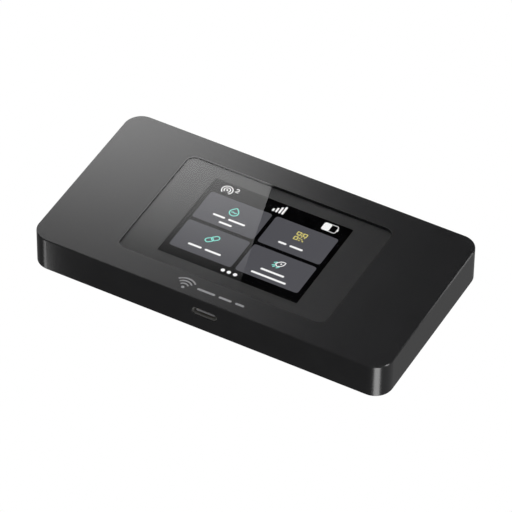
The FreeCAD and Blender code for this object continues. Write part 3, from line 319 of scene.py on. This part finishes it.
def surface(name, colour, roughness, grain, depth, spread=0.04, sockets=None):
    """A material with a grain of that size and depth, uneven gloss and an uneven colour."""
    material, tree = new_tree(name)
    fine = unevenness(tree, grain)
    gloss = span(fine, 0.3, 0.7, roughness - spread, roughness + spread)
    bump = add(tree, "ShaderNodeBump", {"Height": fine, "Distance": depth, "Strength": 1.0})
    inputs = {
        "Base Color": shaded(tree, colour, 0.1, unevenness(tree, 9 * MM)),
        "Roughness": add(tree, "ShaderNodeMapRange", gloss).outputs[0],
        "Normal": bump.outputs[0],
    }
    show(tree, add(tree, "ShaderNodeBsdfPrincipled", {**inputs, **(sockets or {})}))
    return material


def lit(name, colour):
    """Part of the lit screen: even light, with a faint grid between its dots. The grid is
    drawn at 0.16 mm, coarser than the real 0.08 mm, so that it shows at all."""
    material, tree = new_tree(name)
    pitch = 0.16 * MM
    spot = add(tree, "ShaderNodeTexCoord").outputs["Object"]
    grid = add(
        tree,
        "ShaderNodeTexBrick",
        {
            "Vector": spot,
            "Scale": 1.0,
            "Color1": colour,
            "Color2": colour,
            "Mortar": tuple(0.8 * part for part in colour[:3]) + (1.0,),
            "Mortar Size": 0.1 * pitch,
            "Brick Width": pitch,
            "Row Height": pitch,
        },
        offset=0.0,
    )
    inputs = {
        "Base Color": (0, 0, 0, 1),
        "Roughness": 0.5,
        "Specular IOR Level": 0.0,
        "Emission Color": grid.outputs["Color"],
        "Emission Strength": 1.0,
    }
    show(tree, add(tree, "ShaderNodeBsdfPrincipled", inputs))
    return material


def case_plastic(finishes):
    """The case and the rear cover."""
    # PC-ABS from a spark-eroded mould: satin black, its fine grit blurs every reflection;
    # the grit is drawn coarser than the real 0.05 mm so that it shows at all
    sheen = {"Specular IOR Level": 0.6}
    return surface("satin_pc_abs", finishes.case, 0.24, finishes.grain, 0.0005 * MM, 0.02, sheen)


def button_plastic(finishes):
    """The power button and the SIM tray."""
    # ABS from a smoother mould than the case: a little glossier, its grit drawn coarser too
    return surface("fine_satin_abs", finishes.button, 0.22, 0.22 * MM, 0.0005 * MM, 0.02)


def lens_ink(finishes):
    """The print behind the glass, and the side faces of the glass."""
    # silkscreened ink seen through glass: even dark grey, its gloss drifts over centimetres
    material, tree = new_tree("silkscreened_ink")
    drift = unevenness(tree, 12 * MM)
    gloss = add(tree, "ShaderNodeMapRange", span(drift, 0.3, 0.7, 0.28, 0.3))
    inputs = {
        "Base Color": shaded(tree, finishes.ink, 0.05, drift),
        "Roughness": gloss.outputs[0],
        "Specular IOR Level": 0.7,
    }
    show(tree, add(tree, "ShaderNodeBsdfPrincipled", inputs))
    return material


def polished_glass():
    """The top and the rounded edge of the cover glass."""
    # polished aluminosilicate glass: clear, with a sharp reflection at its top face
    material, tree = new_tree("polished_glass")
    tint = unevenness(tree, 14 * MM)
    inputs = {
        "Base Color": shaded(tree, linear("#fcfcfc"), 0.01, tint),
        "Roughness": 0.0,
        "IOR": 1.5,
        "Transmission Weight": 1.0,
    }
    show(tree, add(tree, "ShaderNodeBsdfPrincipled", inputs))
    return material


def optical_adhesive():
    """The underside of the cover glass."""
    # clear adhesive on the underside of the glass: no reflection between glass and print
    material, tree = new_tree("optical_adhesive")
    haze = add(tree, "ShaderNodeMapRange", span(unevenness(tree, 5 * MM), 0.3, 0.7, 0, 0.002))
    inputs = {"Base Color": linear("#ffffff"), "Specular IOR Level": 0.0, "Alpha": haze.outputs[0]}
    show(tree, add(tree, "ShaderNodeBsdfPrincipled", inputs))
    return material


METAL = {"Metallic": 1.0}
NO_SHINE = {"Specular IOR Level": 0.0}
# slot of the record: name, colour, roughness, grain in mm, its depth in mm, shader sockets
INNER_FINISHES = {
    # moulded LCP: fibre-filled, a matt near-black with faint flow mottle
    "connector_plastic": ("moulded_lcp", "#1d1d1f", 0.5, 0.12, 0.002, None),
    # polycarbonate light guide: milky white, softly shiny
    "white_plastic": ("milky_polycarbonate", "#e6e8e8", 0.4, 0.3, 0.001, None),
    # moulded glass-filled nylon: dark grey, its fibres give a coarse matt skin
    "frame_plastic": ("glass_filled_nylon", "#2c2d2f", 0.55, 0.4, 0.006, None),
    # cut foam tape: dead matt black, its open pores swallow the light
    "tape": ("black_foam_tape", "#121213", 0.8, 0.25, 0.01, None),
    # punched PVC card: off-white with a soft even shine
    "card_plastic": ("white_pvc_card", "#dcdcd8", 0.35, 0.3, 0.001, None),
    # cold-rolled steel: light grey, reflections blurred by the rolls
    "sheet_steel": ("rolled_steel", "#b9babb", 0.32, 0.1, 0.001, METAL),
    # deep-drawn stainless steel: bright, its reflections spread by the die's fine marks
    "port_steel": ("drawn_stainless", "#e2e1de", 0.4, 0.12, 0.001, METAL),
    # blackened zinc plate: dark metal with a soft shine
    "screw_steel": ("black_zinc_steel", "#5a5b5e", 0.34, 0.12, 0.002, METAL),
    # turned brass: warm yellow, clear shine with fine tool marks
    "insert_brass": ("turned_brass", "#c9a75a", 0.3, 0.1, 0.002, METAL),
    # plated gold: warm and glossy, nearly smooth
    "gold_plate": ("gold_plate", "#d9b563", 0.22, 0.08, 0.0005, METAL),
    # etched copper film: reddish, dulled by its thin tin coat
    "antenna_copper": ("tinned_copper_film", "#b98157", 0.36, 0.1, 0.001, METAL),
    # moulded epoxy: matt charcoal, made for laser marking
    "chip_resin": ("epoxy_resin", "#222326", 0.6, 0.1, 0.003, None),
    # cast silicone pad: dull blue-grey, slightly waxy
    "thermal_pad": ("silicone_pad", "#8c9aa6", 0.7, 0.3, 0.004, None),
    # pressed graphite sheet: dark with a greasy metal sheen
    "graphite": ("pressed_graphite", "#3a3b3d", 0.4, 0.2, 0.002, {"Metallic": 0.6}),
    # solder mask over fibreglass: glossy dark green, the weave shows faintly
    "circuit_board": ("solder_mask", "#0f2a1e", 0.3, 0.5, 0.004, None),
    # polyimide film over copper: amber brown and glossy
    "polyimide": ("polyimide_film", "#8a4a1c", 0.25, 0.4, 0.001, None),
    # embossed aluminium pouch: silvery with small soft dents
    "battery_foil": ("aluminium_pouch", "#a9abad", 0.38, 0.6, 0.006, {"Metallic": 0.8}),
    # glass of the liquid crystal cell while dark: deep black without a shine of its own
    "display_black": ("unlit_cell_glass", "#020203", 0.25, 0.3, 0.0002, NO_SHINE),
}


def dress(slots, material):
    """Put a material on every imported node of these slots."""
    for name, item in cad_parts.items():
        if SLOT_OF[name] in slots:
            for slot in item.material_slots:
                slot.material = material


# ---- operators: one for each piece or group of like pieces ------------------------------------


class HOTSPOT_OT_dress_case(bpy.types.Operator):
    """Finish the case, the rear cover, the power button and the SIM tray"""

    bl_idname = "hotspot.dress_case"
    bl_label = "Case and buttons"

    def execute(self, context):
        finishes = context.scene.hotspot_finishes
        dress({"case_plastic"}, case_plastic(finishes))
        dress({"button_plastic", "tray_plastic"}, button_plastic(finishes))
        return {"FINISHED"}


class HOTSPOT_OT_dress_inside(bpy.types.Operator):
    """Finish the port, the screws and everything inside the case"""

    bl_idname = "hotspot.dress_inside"
    bl_label = "Port, screws and inside"

    def execute(self, context):
        for slot, (name, code, roughness, grain, depth, sockets) in INNER_FINISHES.items():
            sizes = (grain * MM, depth * MM)
            dress({slot}, surface(name, linear(code), roughness, *sizes, sockets=sockets))
        # LCP left pale grey; the pale colour is also a painted highlight, so that the tongue shows
        # in the dark port
        tongue = surface("lcp_painted_highlight", linear("#8a8a8c"), 0.45, 0.12 * MM, 0.001 * MM)
        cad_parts["usb_c_tongue"].material_slots[0].material = tongue
        return {"FINISHED"}


class HOTSPOT_OT_make_lens(bpy.types.Operator):
    """Build the cover glass with its ground edge, finish the print behind it and add a lip that
    carries a painted highlight
    """

    bl_idname = "hotspot.make_lens"
    bl_label = "Lens"

    def execute(self, context):
        finishes = context.scene.hotspot_finishes
        dress({"lens_print"}, lens_ink(finishes))
        low, high = GLASS_LOW.z + PRINT, GLASS_HIGH.z
        length, width = LENS
        radius, edge, chamfer = LENS_RADIUS, 0.12, 0.04
        # inset and level of each outline: a small chamfer below, a quarter round above
        levels = [(chamfer, low), (0, low + chamfer * MM)]
        for degrees in (0, 22.5, 45, 67.5, 90):
            turn = math.radians(degrees)
            drop = edge * MM * (1 - math.sin(turn))
            levels.append((edge * (1 - math.cos(turn)), high - drop))
        points, faces = [], []
        for inset, level in levels:
            outline = rounded(0, 0, length - 2 * inset, width - 2 * inset, radius - inset)
            points += [(x * MM, y * MM, level) for x, y in outline]
        count = len(points) // len(levels)
        for step in range(len(levels) - 1):
            for index in range(count):
                after = (index + 1) % count
                a, b = step * count, (step + 1) * count
                faces.append((a + index, a + after, b + after, b + index))
        faces.append(tuple(range(count)))
        faces.append(tuple(range(len(points) - count, len(points))))
        glass = mesh_object("lens_pane", points, faces)
        own(glass, polished_glass(), "case")
        glass.data.materials.append(optical_adhesive())
        glass.data.materials.append(lens_ink(finishes))
        # top and rounded edge: glass; underside: adhesive; side faces: ink
        for face in glass.data.polygons:
            face.use_smooth = len(face.vertices) == 4
            if face.normal.z < -0.9:
                face.material_index = 1
            elif face.normal.z < 0.05:
                face.material_index = 2
        glass.visible_shadow = False
        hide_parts("cover_glass")
        self.make_lip()
        return {"FINISHED"}

    def make_lip(self):
        """A thin lip on the wall of the lens opening, its glow a painted highlight."""
        outer, inner = [
            rounded(0, 0, LENS[0] + 2 * gap, LENS[1] + 2 * gap, LENS_RADIUS + gap)
            for gap in (LENS_GAP - 0.01, LENS_GAP - 0.06)
        ]
        low, high = GLASS_HIGH.z - 0.04 * MM, CASE_HIGH.z - 0.004 * MM
        lip = plate("highlight_lip", [(outer, inner)], low, high)
        # dark and softly shiny; its emission is a painted highlight: a weak glow on its left part,
        # where the softbox falls on the lens, rising towards the back
        material, tree = new_tree("lip_painted_highlight")
        spot = add(tree, "ShaderNodeTexCoord").outputs["Object"]
        parts = add(tree, "ShaderNodeSeparateXYZ", {"Vector": spot}).outputs
        lit_side = add(tree, "ShaderNodeMapRange", span(parts[0], -8.6 * MM, -6.6 * MM, 1, 0))
        rise = add(tree, "ShaderNodeMapRange", span(parts[1], -25 * MM, 25 * MM, 0.08, 0.2))
        factors = {0: lit_side.outputs[0], 1: rise.outputs[0]}
        glow = add(tree, "ShaderNodeMath", factors, operation="MULTIPLY")
        inputs = {
            "Base Color": shaded(tree, linear("#0a0a0b"), 0.2, unevenness(tree, 3 * MM)),
            "Roughness": 0.4,
            "Emission Color": linear("#ffffff"),
            "Emission Strength": glow.outputs[0],
        }
        show(tree, add(tree, "ShaderNodeBsdfPrincipled", inputs))
        own(lip, material, "case")


class HOTSPOT_OT_make_tiles(bpy.types.Operator):
    """Draw the four tiles of the screen"""

    bl_idname = "hotspot.make_tiles"
    bl_label = "Tiles"

    def execute(self, context):
        screen = context.scene.hotspot_screen
        radius = screen.tile_radius / MM
        columns = ((-23.7, -0.78), (0.65, 23.7))
        rows = ((-0.33, 13.3), (-15.45, -1.8))
        tiles = []
        for left, right in columns:
            for low, high in rows:
                centre = ((left + right) / 2, (low + high) / 2)
                tiles.append(rounded(*centre, right - left, high - low, radius))
        item = plate("screen_tiles", tiles, SCREEN_TOP, SCREEN_TOP + PRINT)
        own(item, lit("lit_tile", screen.tile), "case")
        return {"FINISHED"}


class HOTSPOT_OT_make_status_row(bpy.types.Operator):
    """Draw the hotspot sign with its count, the signal bars, the battery and the page dots"""

    bl_idname = "hotspot.make_status_row"
    bl_label = "Status row"

    def execute(self, context):
        screen = context.scene.hotspot_screen
        white = lit("lit_white", screen.white)
        x, y = -19.5, 16.3
        sign = [circle(x, y, 0.36)]
        sign += [line(arc(x, y, radius, -50, 230), 0.36) for radius in (1.08, 1.92)]
        two = arc(-16.3, 17.8, 0.5, 160, -35) + [(-16.9, 16.7), (-15.7, 16.7)]
        tops = (16.15, 17.0, 17.9, 18.65)
        bars = []
        for bar, top in zip((-1.76, -0.59, 0.56, 1.68), tops):
            bars.append(rounded(bar, (14.8 + top) / 2, 0.7, top - 14.8, 0.25))
        battery = [
            ring(rounded(18.5, 16.8, 5.0, 3.4, 0.6), 0.22),
            rounded(17.35, 16.8, 2.6, 3.2, 0.4),
            rounded(21.3, 16.8, 0.35, 1.1, 0.15),
        ]
        dots = [circle(dot, -17.6, 0.7) for dot in (-2.4, -0.2, 2.1)]
        pieces = (
            ("hotspot_sign", sign),
            ("client_count", [line(two, 0.32)]),
            ("signal_bars", bars),
            ("battery_gauge", battery),
            ("page_dots", dots),
        )
        for name, shapes in pieces:
            item = plate(name, shapes, SCREEN_TOP, SCREEN_TOP + PRINT)
            own(item, white, "case")
        return {"FINISHED"}


class HOTSPOT_OT_make_icons(bpy.types.Operator):
    """Draw an icon on each tile: a drop, a chain link, a code grid and a rocket"""

    bl_idname = "hotspot.make_icons"
    bl_label = "Tile icons"

    def execute(self, context):
        screen = context.scene.hotspot_screen
        teal = lit("lit_teal", screen.teal)
        white = bpy.data.materials["lit_white"]
        yellow = lit("lit_yellow", screen.yellow)
        width = screen.line / MM
        drop = arc(0, -0.35, 1.55, -220, 40) + [(0.55, 1.45), (0, 1.85), (-0.55, 1.45)]
        wave = [(-0.85, -0.45), (-0.45, -0.2), (0, -0.4), (0.45, -0.6), (0.85, -0.35)]
        centre = (-12.3, 8.2)
        drop_shapes = [ring(turned(drop, 0, *centre), width), line(turned(wave, 0, *centre), 0.42)]
        link = rounded(0, 0, 2.7, 1.75, 0.86)
        link_shapes = []
        for side in (-1, 1):
            x, y = -12.35 + side * 0.78, -6.6 + side * 0.72
            link_shapes.append(ring(turned(link, 42, x, y), width))
        code = []
        for x, y in ((11.0, 9.55), (13.25, 9.55), (11.0, 7.15)):
            code.append(ring(rounded(x, y, 1.2, 1.3, 0.05), 0.34))
        for x, y in ((12.15, 9.9), (12.15, 8.9), (11.2, 8.35), (12.5, 8.3), (13.6, 8.35)):
            code.append(rounded(x, y, 0.42, 0.46, 0.03))
        for x, y in ((12.3, 7.5), (13.1, 7.3), (12.4, 6.6), (13.65, 6.65)):
            code.append(rounded(x, y, 0.5, 0.46, 0.03))
        hull = [(2.15, 0), (1.6, 0.6), (0.75, 0.98), (-0.3, 0.95), (-1.1, 0.6)]
        hull += [(x, -y) for x, y in reversed(hull[1:])]
        pose = (42, 12.3, -6.4)
        rocket = [ring(turned(hull, *pose), 0.38), turned(circle(0.6, 0, 0.3), *pose)]
        flames = []
        for start, end in (
            ((-0.4, 1.2), (-1.35, 1.3)),
            ((-0.4, -1.2), (-1.35, -1.3)),
            ((-1.55, 0.3), (-2.3, 0.38)),
            ((-1.55, -0.3), (-2.3, -0.38)),
        ):
            flames.append(line(turned([start, end], *pose), 0.46))
        low = SCREEN_TOP + PRINT
        pieces = (
            ("drop_icon", drop_shapes, teal),
            ("link_icon", link_shapes, teal),
            ("code_icon", code, yellow),
            ("rocket_icon", rocket, white),
            ("rocket_flames", flames, teal),
        )
        for name, shapes, material in pieces:
            item = plate(name, shapes, low, low + PRINT)
            own(item, material, "case")
        return {"FINISHED"}


class HOTSPOT_OT_make_captions(bpy.types.Operator):
    """Draw a plain bar where each word of a tile's caption would be"""

    bl_idname = "hotspot.make_captions"
    bl_label = "Captions"

    def execute(self, context):
        screen = context.scene.hotspot_screen
        height = screen.caption / MM
        # left end, right end and height on the screen of each bar
        words = (
            (-18.1, -13.6, 4.1),
            (-12.4, -6.2, 4.1),
            (-14.6, -9.8, 1.7),
            (6.8, 9.8, 2.9),
            (11.0, 15.8, 2.9),
            (-18.4, -13.4, -12.0),
            (-12.2, -6.3, -12.0),
            (7.8, 16.4, -10.9),
            (5.7, 18.4, -13.5),
        )
        shapes = [
            rounded((left + right) / 2, y, right - left, height, height * 0.49)
            for left, right, y in words
        ]
        low = SCREEN_TOP + PRINT
        item = plate("caption_bars", shapes, low, low + PRINT)
        own(item, bpy.data.materials["lit_white"], "case")
        return {"FINISHED"}


class HOTSPOT_OT_make_front_mark(bpy.types.Operator):
    """Print a plain wave sign and three dashes in front of the lens"""

    bl_idname = "hotspot.make_front_mark"
    bl_label = "Front mark"

    def execute(self, context):
        finishes = context.scene.hotspot_finishes
        # pad-printed ink: a matt grey film just proud of the plastic
        ink = surface("pad_printed_ink", finishes.mark, 0.55, 0.1 * MM, 0.001 * MM)
        x, y = -9.4, -31.9
        shapes = [circle(x, y + 0.3, 0.55)]
        shapes += [line(arc(x, y + 0.3, radius, 46, 134), 0.55) for radius in (1.75, 3.0, 4.25)]
        for left, right in ((-4.9, 1.6), (3.0, 7.6), (9.0, 12.2)):
            shapes.append(rounded((left + right) / 2, -30.0, right - left, 0.85, 0.42))
        item = plate("front_mark", shapes, CASE_HIGH.z - PRINT, CASE_HIGH.z + PRINT)
        own(item, ink, "case")
        return {"FINISHED"}


class HOTSPOT_OT_make_power_symbol(bpy.types.Operator):
    """Print the on-off symbol on the power button"""

    bl_idname = "hotspot.make_power_symbol"
    bl_label = "Power symbol"

    def execute(self, context):
        shapes = [line(arc(0, 0, 0.62, 125, 415), 0.18), line([(0, 0.2), (0, 0.8)], 0.18)]
        x = BUTTON_LOW.x
        middle = Vector((x, (BUTTON_LOW.y + BUTTON_HIGH.y) / 2, (BUTTON_LOW.z + BUTTON_HIGH.z) / 2))
        to_wall = Matrix.Translation(middle) @ Matrix(((0, 0, -1), (-1, 0, 0), (0, 1, 0))).to_4x4()
        item = plate("power_symbol", shapes, -PRINT, PRINT, to_wall)
        own(item, bpy.data.materials["pad_printed_ink"], "power_button")
        return {"FINISHED"}


class HOTSPOT_OT_make_label(bpy.types.Operator):
    """Finish the rear label and print plain bars and stripes on it"""

    bl_idname = "hotspot.make_label"
    bl_label = "Rear label"

    def execute(self, context):
        finishes = context.scene.hotspot_finishes
        # polyester film label: smooth and slightly shiny, flat against the cover
        film = surface("polyester_label", finishes.label, 0.42, 0.3 * MM, 0.0006 * MM)
        dress({"label_film"}, film)
        shapes = [ring(rounded(0, 0, 53.4, 27.4, 0.8), 0.2)]
        for row, (start, end) in enumerate(((-24, -2), (-24, -7), (-24, -4), (-24, -10))):
            y = 9.5 - 3.1 * row
            shapes.append(rounded((start + end) / 2, y, end - start, 0.9, 0.44))
        for row, end in enumerate((20, 12, 17)):
            shapes.append(rounded((4 + end) / 2, 9.5 - 3.1 * row, end - 4, 0.9, 0.44))
        x = -24.0
        for number in range(34):
            stripe = (0.25, 0.5, 0.35, 0.7)[(number * 7 + number // 3) % 4]
            shapes.append(rounded(x + stripe / 2, -8.3, stripe, 5.6, 0.05))
            x += stripe + (0.3, 0.45, 0.25)[(number * 5) % 3]
        for column in range(7):
            for row in range(7):
                if (column * 3 + row * 5 + column * row) % 3:
                    shapes.append(rounded(14.6 + 1.2 * column, -3.9 - 1.2 * row, 1.1, 1.1, 0.05))
        flip = Matrix.Rotation(math.pi, 4, "Y") @ Matrix.Translation((0, 0, -LABEL_LOW.z))
        item = plate("label_print", shapes, -PRINT, PRINT / 2, flip)
        # thermal-transfer ink: flat pale grey, a little duller than the film
        ink = surface("label_ink", linear("#8f9092"), 0.5, 0.1 * MM, 0.0005 * MM)
        own(item, ink, "case")
        return {"FINISHED"}


def mirrored(point, eye):
    """Direction in which the view from eye leaves a level mirror at point."""
    ray = (point - eye).normalized()
    return Vector((ray.x, ray.y, -ray.z))


def stage_plane(name, size_x, size_y, matrix):
    """A flat rectangle of the stage, starting at its local x = 0 and centred on local y = 0."""
    half = size_y / 2
    points = [(0, -half, 0), (size_x, -half, 0), (size_x, half, 0), (0, half, 0)]
    item = mesh_object(name, points, [(0, 1, 2, 3)])
    item.matrix_world = matrix
    return item


def light_card(name, azimuth, elevation, reach, width, height, strength, start=Vector()):
    """A soft light that the camera doesn't see, in a direction and at a reach from a start."""
    a, e = math.radians(azimuth), math.radians(elevation)
    back = Vector((math.sin(a) * math.cos(e), -math.cos(a) * math.cos(e), math.sin(e)))
    data = bpy.data.lights.new(name, "AREA")
    data.shape = "RECTANGLE"
    data.size, data.size_y = width, height
    data.energy = strength * math.pi * width * height
    item = bpy.data.objects.new(name, data)
    bpy.context.scene.collection.objects.link(item)
    item.location = start + Vector((0, 0, CASE_HIGH.z / 2)) + back * reach
    item.rotation_mode = "QUATERNION"
    item.rotation_quaternion = back.to_track_quat("Z", "Y")
    item.visible_camera = False
    return item


# name, azimuth and elevation in degrees, reach, width, height, strength and start
LIGHT_CARDS = (
    # from below: a vertical glint on the two front corners of the case
    ("front_card", 41, -43, 0.6, 0.24, 0.5, 4.6),
    ("left_card", -40, -43, 0.03, 0.006, 0.05, 2.2, Vector((-59.4 * MM, -34.3 * MM, 0))),
    # overhead: an even dark grey on the top
    ("top_card", 60, 80, 1.0, 0.8, 0.8, 3.0),
    # low in front: mirrored in the top when that is seen from behind
    ("back_view_card", 45, 14, 1.0, 1.2, 0.4, 0.45),
    # small and bright: thin lines of light along the upper edges and the outer corners
    ("right_rim", 92, 37, 0.6, 0.14, 0.14, 9.0),
    ("back_rim", 127.5, 16.3, 0.267, 0.035, 0.035, 4.0),
    ("left_rim", -95, 14, 0.5, 0.15, 0.1, 3.0),
)


class HOTSPOT_OT_set_stage(bpy.types.Operator):
    """Set the camera, the pale floor, the softbox and the surroundings"""

    bl_idname = "hotspot.set_stage"
    bl_label = "Studio"

    def execute(self, context):
        scene = context.scene
        studio = scene.hotspot_studio
        scene.view_settings.view_transform = "Standard"
        eye = self.set_camera(scene, studio)
        self.set_floor()
        self.set_softbox(studio, eye)
        for card in LIGHT_CARDS:
            light_card(*card)
        self.set_world(scene)
        return {"FINISHED"}

    def set_camera(self, scene, studio):
        """Long lens from the front right; its small shift centres the object."""
        a, e, roll = studio.azimuth, studio.elevation, studio.roll
        back = Vector((math.sin(a) * math.cos(e), -math.cos(a) * math.cos(e), math.sin(e)))
        level = Vector((0, 0, 1)).cross(back).normalized()
        upright = back.cross(level)
        right = math.cos(roll) * level + math.sin(roll) * upright
        up = math.cos(roll) * upright - math.sin(roll) * level
        data = bpy.data.cameras.new("camera")
        # millimetres: so long a lens keeps the upright edges nearly parallel
        data.lens = 309.8
        data.sensor_width = 36
        data.shift_x = 0.0012
        data.shift_y = -0.0074
        data.clip_start = 0.05
        data.clip_end = 20
        camera = bpy.data.objects.new("camera", data)
        scene.collection.objects.link(camera)
        eye = Vector((0, 0, CASE_HIGH.z / 2)) + back * studio.distance
        turn = Matrix((right, up, back)).transposed().to_4x4()
        camera.matrix_world = Matrix.Translation(eye) @ turn
        scene.camera = camera
        return eye

    def set_floor(self):
        """A pale floor that stays white; from below it can be looked through."""
        size = 8.0
        item = stage_plane("floor", size, size, Matrix.Translation((-size / 2, 0, CASE_LOW.z)))
        # painted board: plain white, the same as the surroundings
        material, tree = new_tree("white_floor")
        white = add(tree, "ShaderNodeEmission", {"Color": (1, 1, 1, 1), "Strength": 1.0})
        clear = add(tree, "ShaderNodeBsdfTransparent")
        below = add(tree, "ShaderNodeNewGeometry").outputs["Backfacing"]
        mix = add(tree, "ShaderNodeMixShader", {0: below, 1: white.outputs[0], 2: clear.outputs[0]})
        show(tree, mix)
        item.data.materials.append(material)
        item.visible_diffuse = False
        item.visible_glossy = False
        item.visible_transmission = False
        item.visible_shadow = False

    def set_softbox(self, studio, eye):
        """A softbox behind and to the left, placed by where its edge is mirrored in the lens."""
        # where the sharp edge of its reflection crosses the front and the back of the lens
        ends = ((5.2, -19.4), (-7.4, 24.8))
        edge = [Vector((x * MM, y * MM, GLASS_HIGH.z)) for x, y in ends]
        front, rear = [point + mirrored(point, eye) * studio.softbox_reach for point in edge]
        along = (rear - front).normalized()
        facing = mirrored((edge[0] + edge[1]) / 2, eye)
        left = along.cross(facing).normalized()
        if left.x > 0:
            left = -left
        matrix = Matrix((left, along, left.cross(along))).transposed().to_4x4()
        matrix = Matrix.Translation((front + rear) / 2) @ matrix
        item = stage_plane("softbox", studio.softbox_width, studio.softbox_length, matrix)
        item.visible_camera = False
        # lit woven cloth: brightest behind the object, fading away from its sharp edge
        material, tree = new_tree("softbox_cloth")
        spot = add(tree, "ShaderNodeTexCoord").outputs["Object"]
        parts = add(tree, "ShaderNodeSeparateXYZ", {"Vector": spot}).outputs
        half = (rear - front).length / 2
        rise = span(parts[1], -1.12 * half, 2.2 * half, 0.12, 4.7)
        strength = add(tree, "ShaderNodeMapRange", rise).outputs[0]
        for fade in (
            span(parts[0], 0.0, 0.1, 0.76, 1.5),
            span(parts[0], 0.13, 0.24, 1.0, 0.15),
            span(parts[1], 3.0 * half, 5.5 * half, 1.0, 0.12),
        ):
            factors = {0: strength, 1: add(tree, "ShaderNodeMapRange", fade).outputs[0]}
            strength = add(tree, "ShaderNodeMath", factors, operation="MULTIPLY").outputs[0]
        show(tree, add(tree, "ShaderNodeEmission", {"Color": (1, 1, 1, 1), "Strength": strength}))
        item.data.materials.append(material)

    def set_world(self, scene):
        """White behind the object; a dim surround lights it."""
        world = bpy.data.worlds.new("studio")
        world.use_nodes = True
        tree = world.node_tree
        tree.nodes.clear()
        is_view = add(tree, "ShaderNodeLightPath").outputs["Is Camera Ray"]
        direction = add(tree, "ShaderNodeTexCoord").outputs["Generated"]
        # how far a direction points up to the back left, and level to the back right
        sides = []
        for side in (Vector((-0.34, 0.64, 0.69)), Vector((0.34, 0.64, 0))):
            pair = {0: direction, 1: side.normalized()}
            node = add(tree, "ShaderNodeVectorMath", pair, operation="DOT_PRODUCT")
            sides.append(node.outputs["Value"])
        above = add(tree, "ShaderNodeMapRange", span(sides[0], 0.2, 0.85, 0.16, 0.008))
        below = add(tree, "ShaderNodeMapRange", span(sides[1], -0.6, 0.6, 0.08, 0.26))
        height = add(tree, "ShaderNodeSeparateXYZ", {"Vector": direction}).outputs[2]
        upper = add(tree, "ShaderNodeMapRange", span(height, -0.1, 0.1, 0, 1))
        halves = {0: upper.outputs[0], 2: below.outputs[0], 3: above.outputs[0]}
        level = add(tree, "ShaderNodeMix", halves)
        # a band of light round the horizon, for the upright walls
        off_level = add(tree, "ShaderNodeMath", {0: height}, operation="ABSOLUTE")
        horizon = add(tree, "ShaderNodeMapRange", span(off_level.outputs[0], 0.0, 0.28, 0.3, 0.0))
        parts = {0: level.outputs[0], 1: horizon.outputs[0]}
        level = add(tree, "ShaderNodeMath", parts, operation="ADD").outputs[0]
        dim = add(tree, "ShaderNodeBackground", {"Color": (1, 1, 1, 1), "Strength": level})
        white = add(tree, "ShaderNodeBackground", {"Color": (1, 1, 1, 1), "Strength": 1.0})
        mix = add(tree, "ShaderNodeMixShader", {0: is_view, 1: dim.outputs[0], 2: white.outputs[0]})
        add(tree, "ShaderNodeOutputWorld", {"Surface": mix.outputs[0]})
        scene.world = world


STEPS = (
    HOTSPOT_OT_dress_case,
    HOTSPOT_OT_dress_inside,
    HOTSPOT_OT_make_lens,
    HOTSPOT_OT_make_tiles,
    HOTSPOT_OT_make_status_row,
    HOTSPOT_OT_make_icons,
    HOTSPOT_OT_make_captions,
    HOTSPOT_OT_make_front_mark,
    HOTSPOT_OT_make_power_symbol,
    HOTSPOT_OT_make_label,
    HOTSPOT_OT_set_stage,
)
GROUPS = (HotspotFinishes, HotspotScreen, HotspotStudio)


class HOTSPOT_PT_panel(bpy.types.Panel):
    """Sizes, colours and steps of the mobile hotspot"""

    bl_idname = "HOTSPOT_PT_panel"
    bl_label = "Mobile hotspot"
    bl_space_type = "VIEW_3D"
    bl_region_type = "UI"
    bl_category = "Hotspot"

    def draw(self, context):
        for settings in ("hotspot_finishes", "hotspot_screen", "hotspot_studio"):
            group = getattr(context.scene, settings)
            box = self.layout.box()
            for key in group.__annotations__:
                box.prop(group, key)
        for step in STEPS:
            self.layout.operator(step.bl_idname)


def register():
    """Register the panel, its settings and its steps."""
    for item in (*GROUPS, *STEPS, HOTSPOT_PT_panel):
        bpy.utils.register_class(item)
    bpy.types.Scene.hotspot_finishes = bpy.props.PointerProperty(type=HotspotFinishes)
    bpy.types.Scene.hotspot_screen = bpy.props.PointerProperty(type=HotspotScreen)
    bpy.types.Scene.hotspot_studio = bpy.props.PointerProperty(type=HotspotStudio)


def unregister():
    """Take away what register added."""
    del bpy.types.Scene.hotspot_studio
    del bpy.types.Scene.hotspot_screen
    del bpy.types.Scene.hotspot_finishes
    for item in (HOTSPOT_PT_panel, *reversed(STEPS), *reversed(GROUPS)):
        bpy.utils.unregister_class(item)


def main():
    """Build everything in order."""
    register()
    for step in STEPS:
        getattr(bpy.ops.hotspot, step.bl_idname.split(".")[1])()


if __name__ == "__main__":
    main()
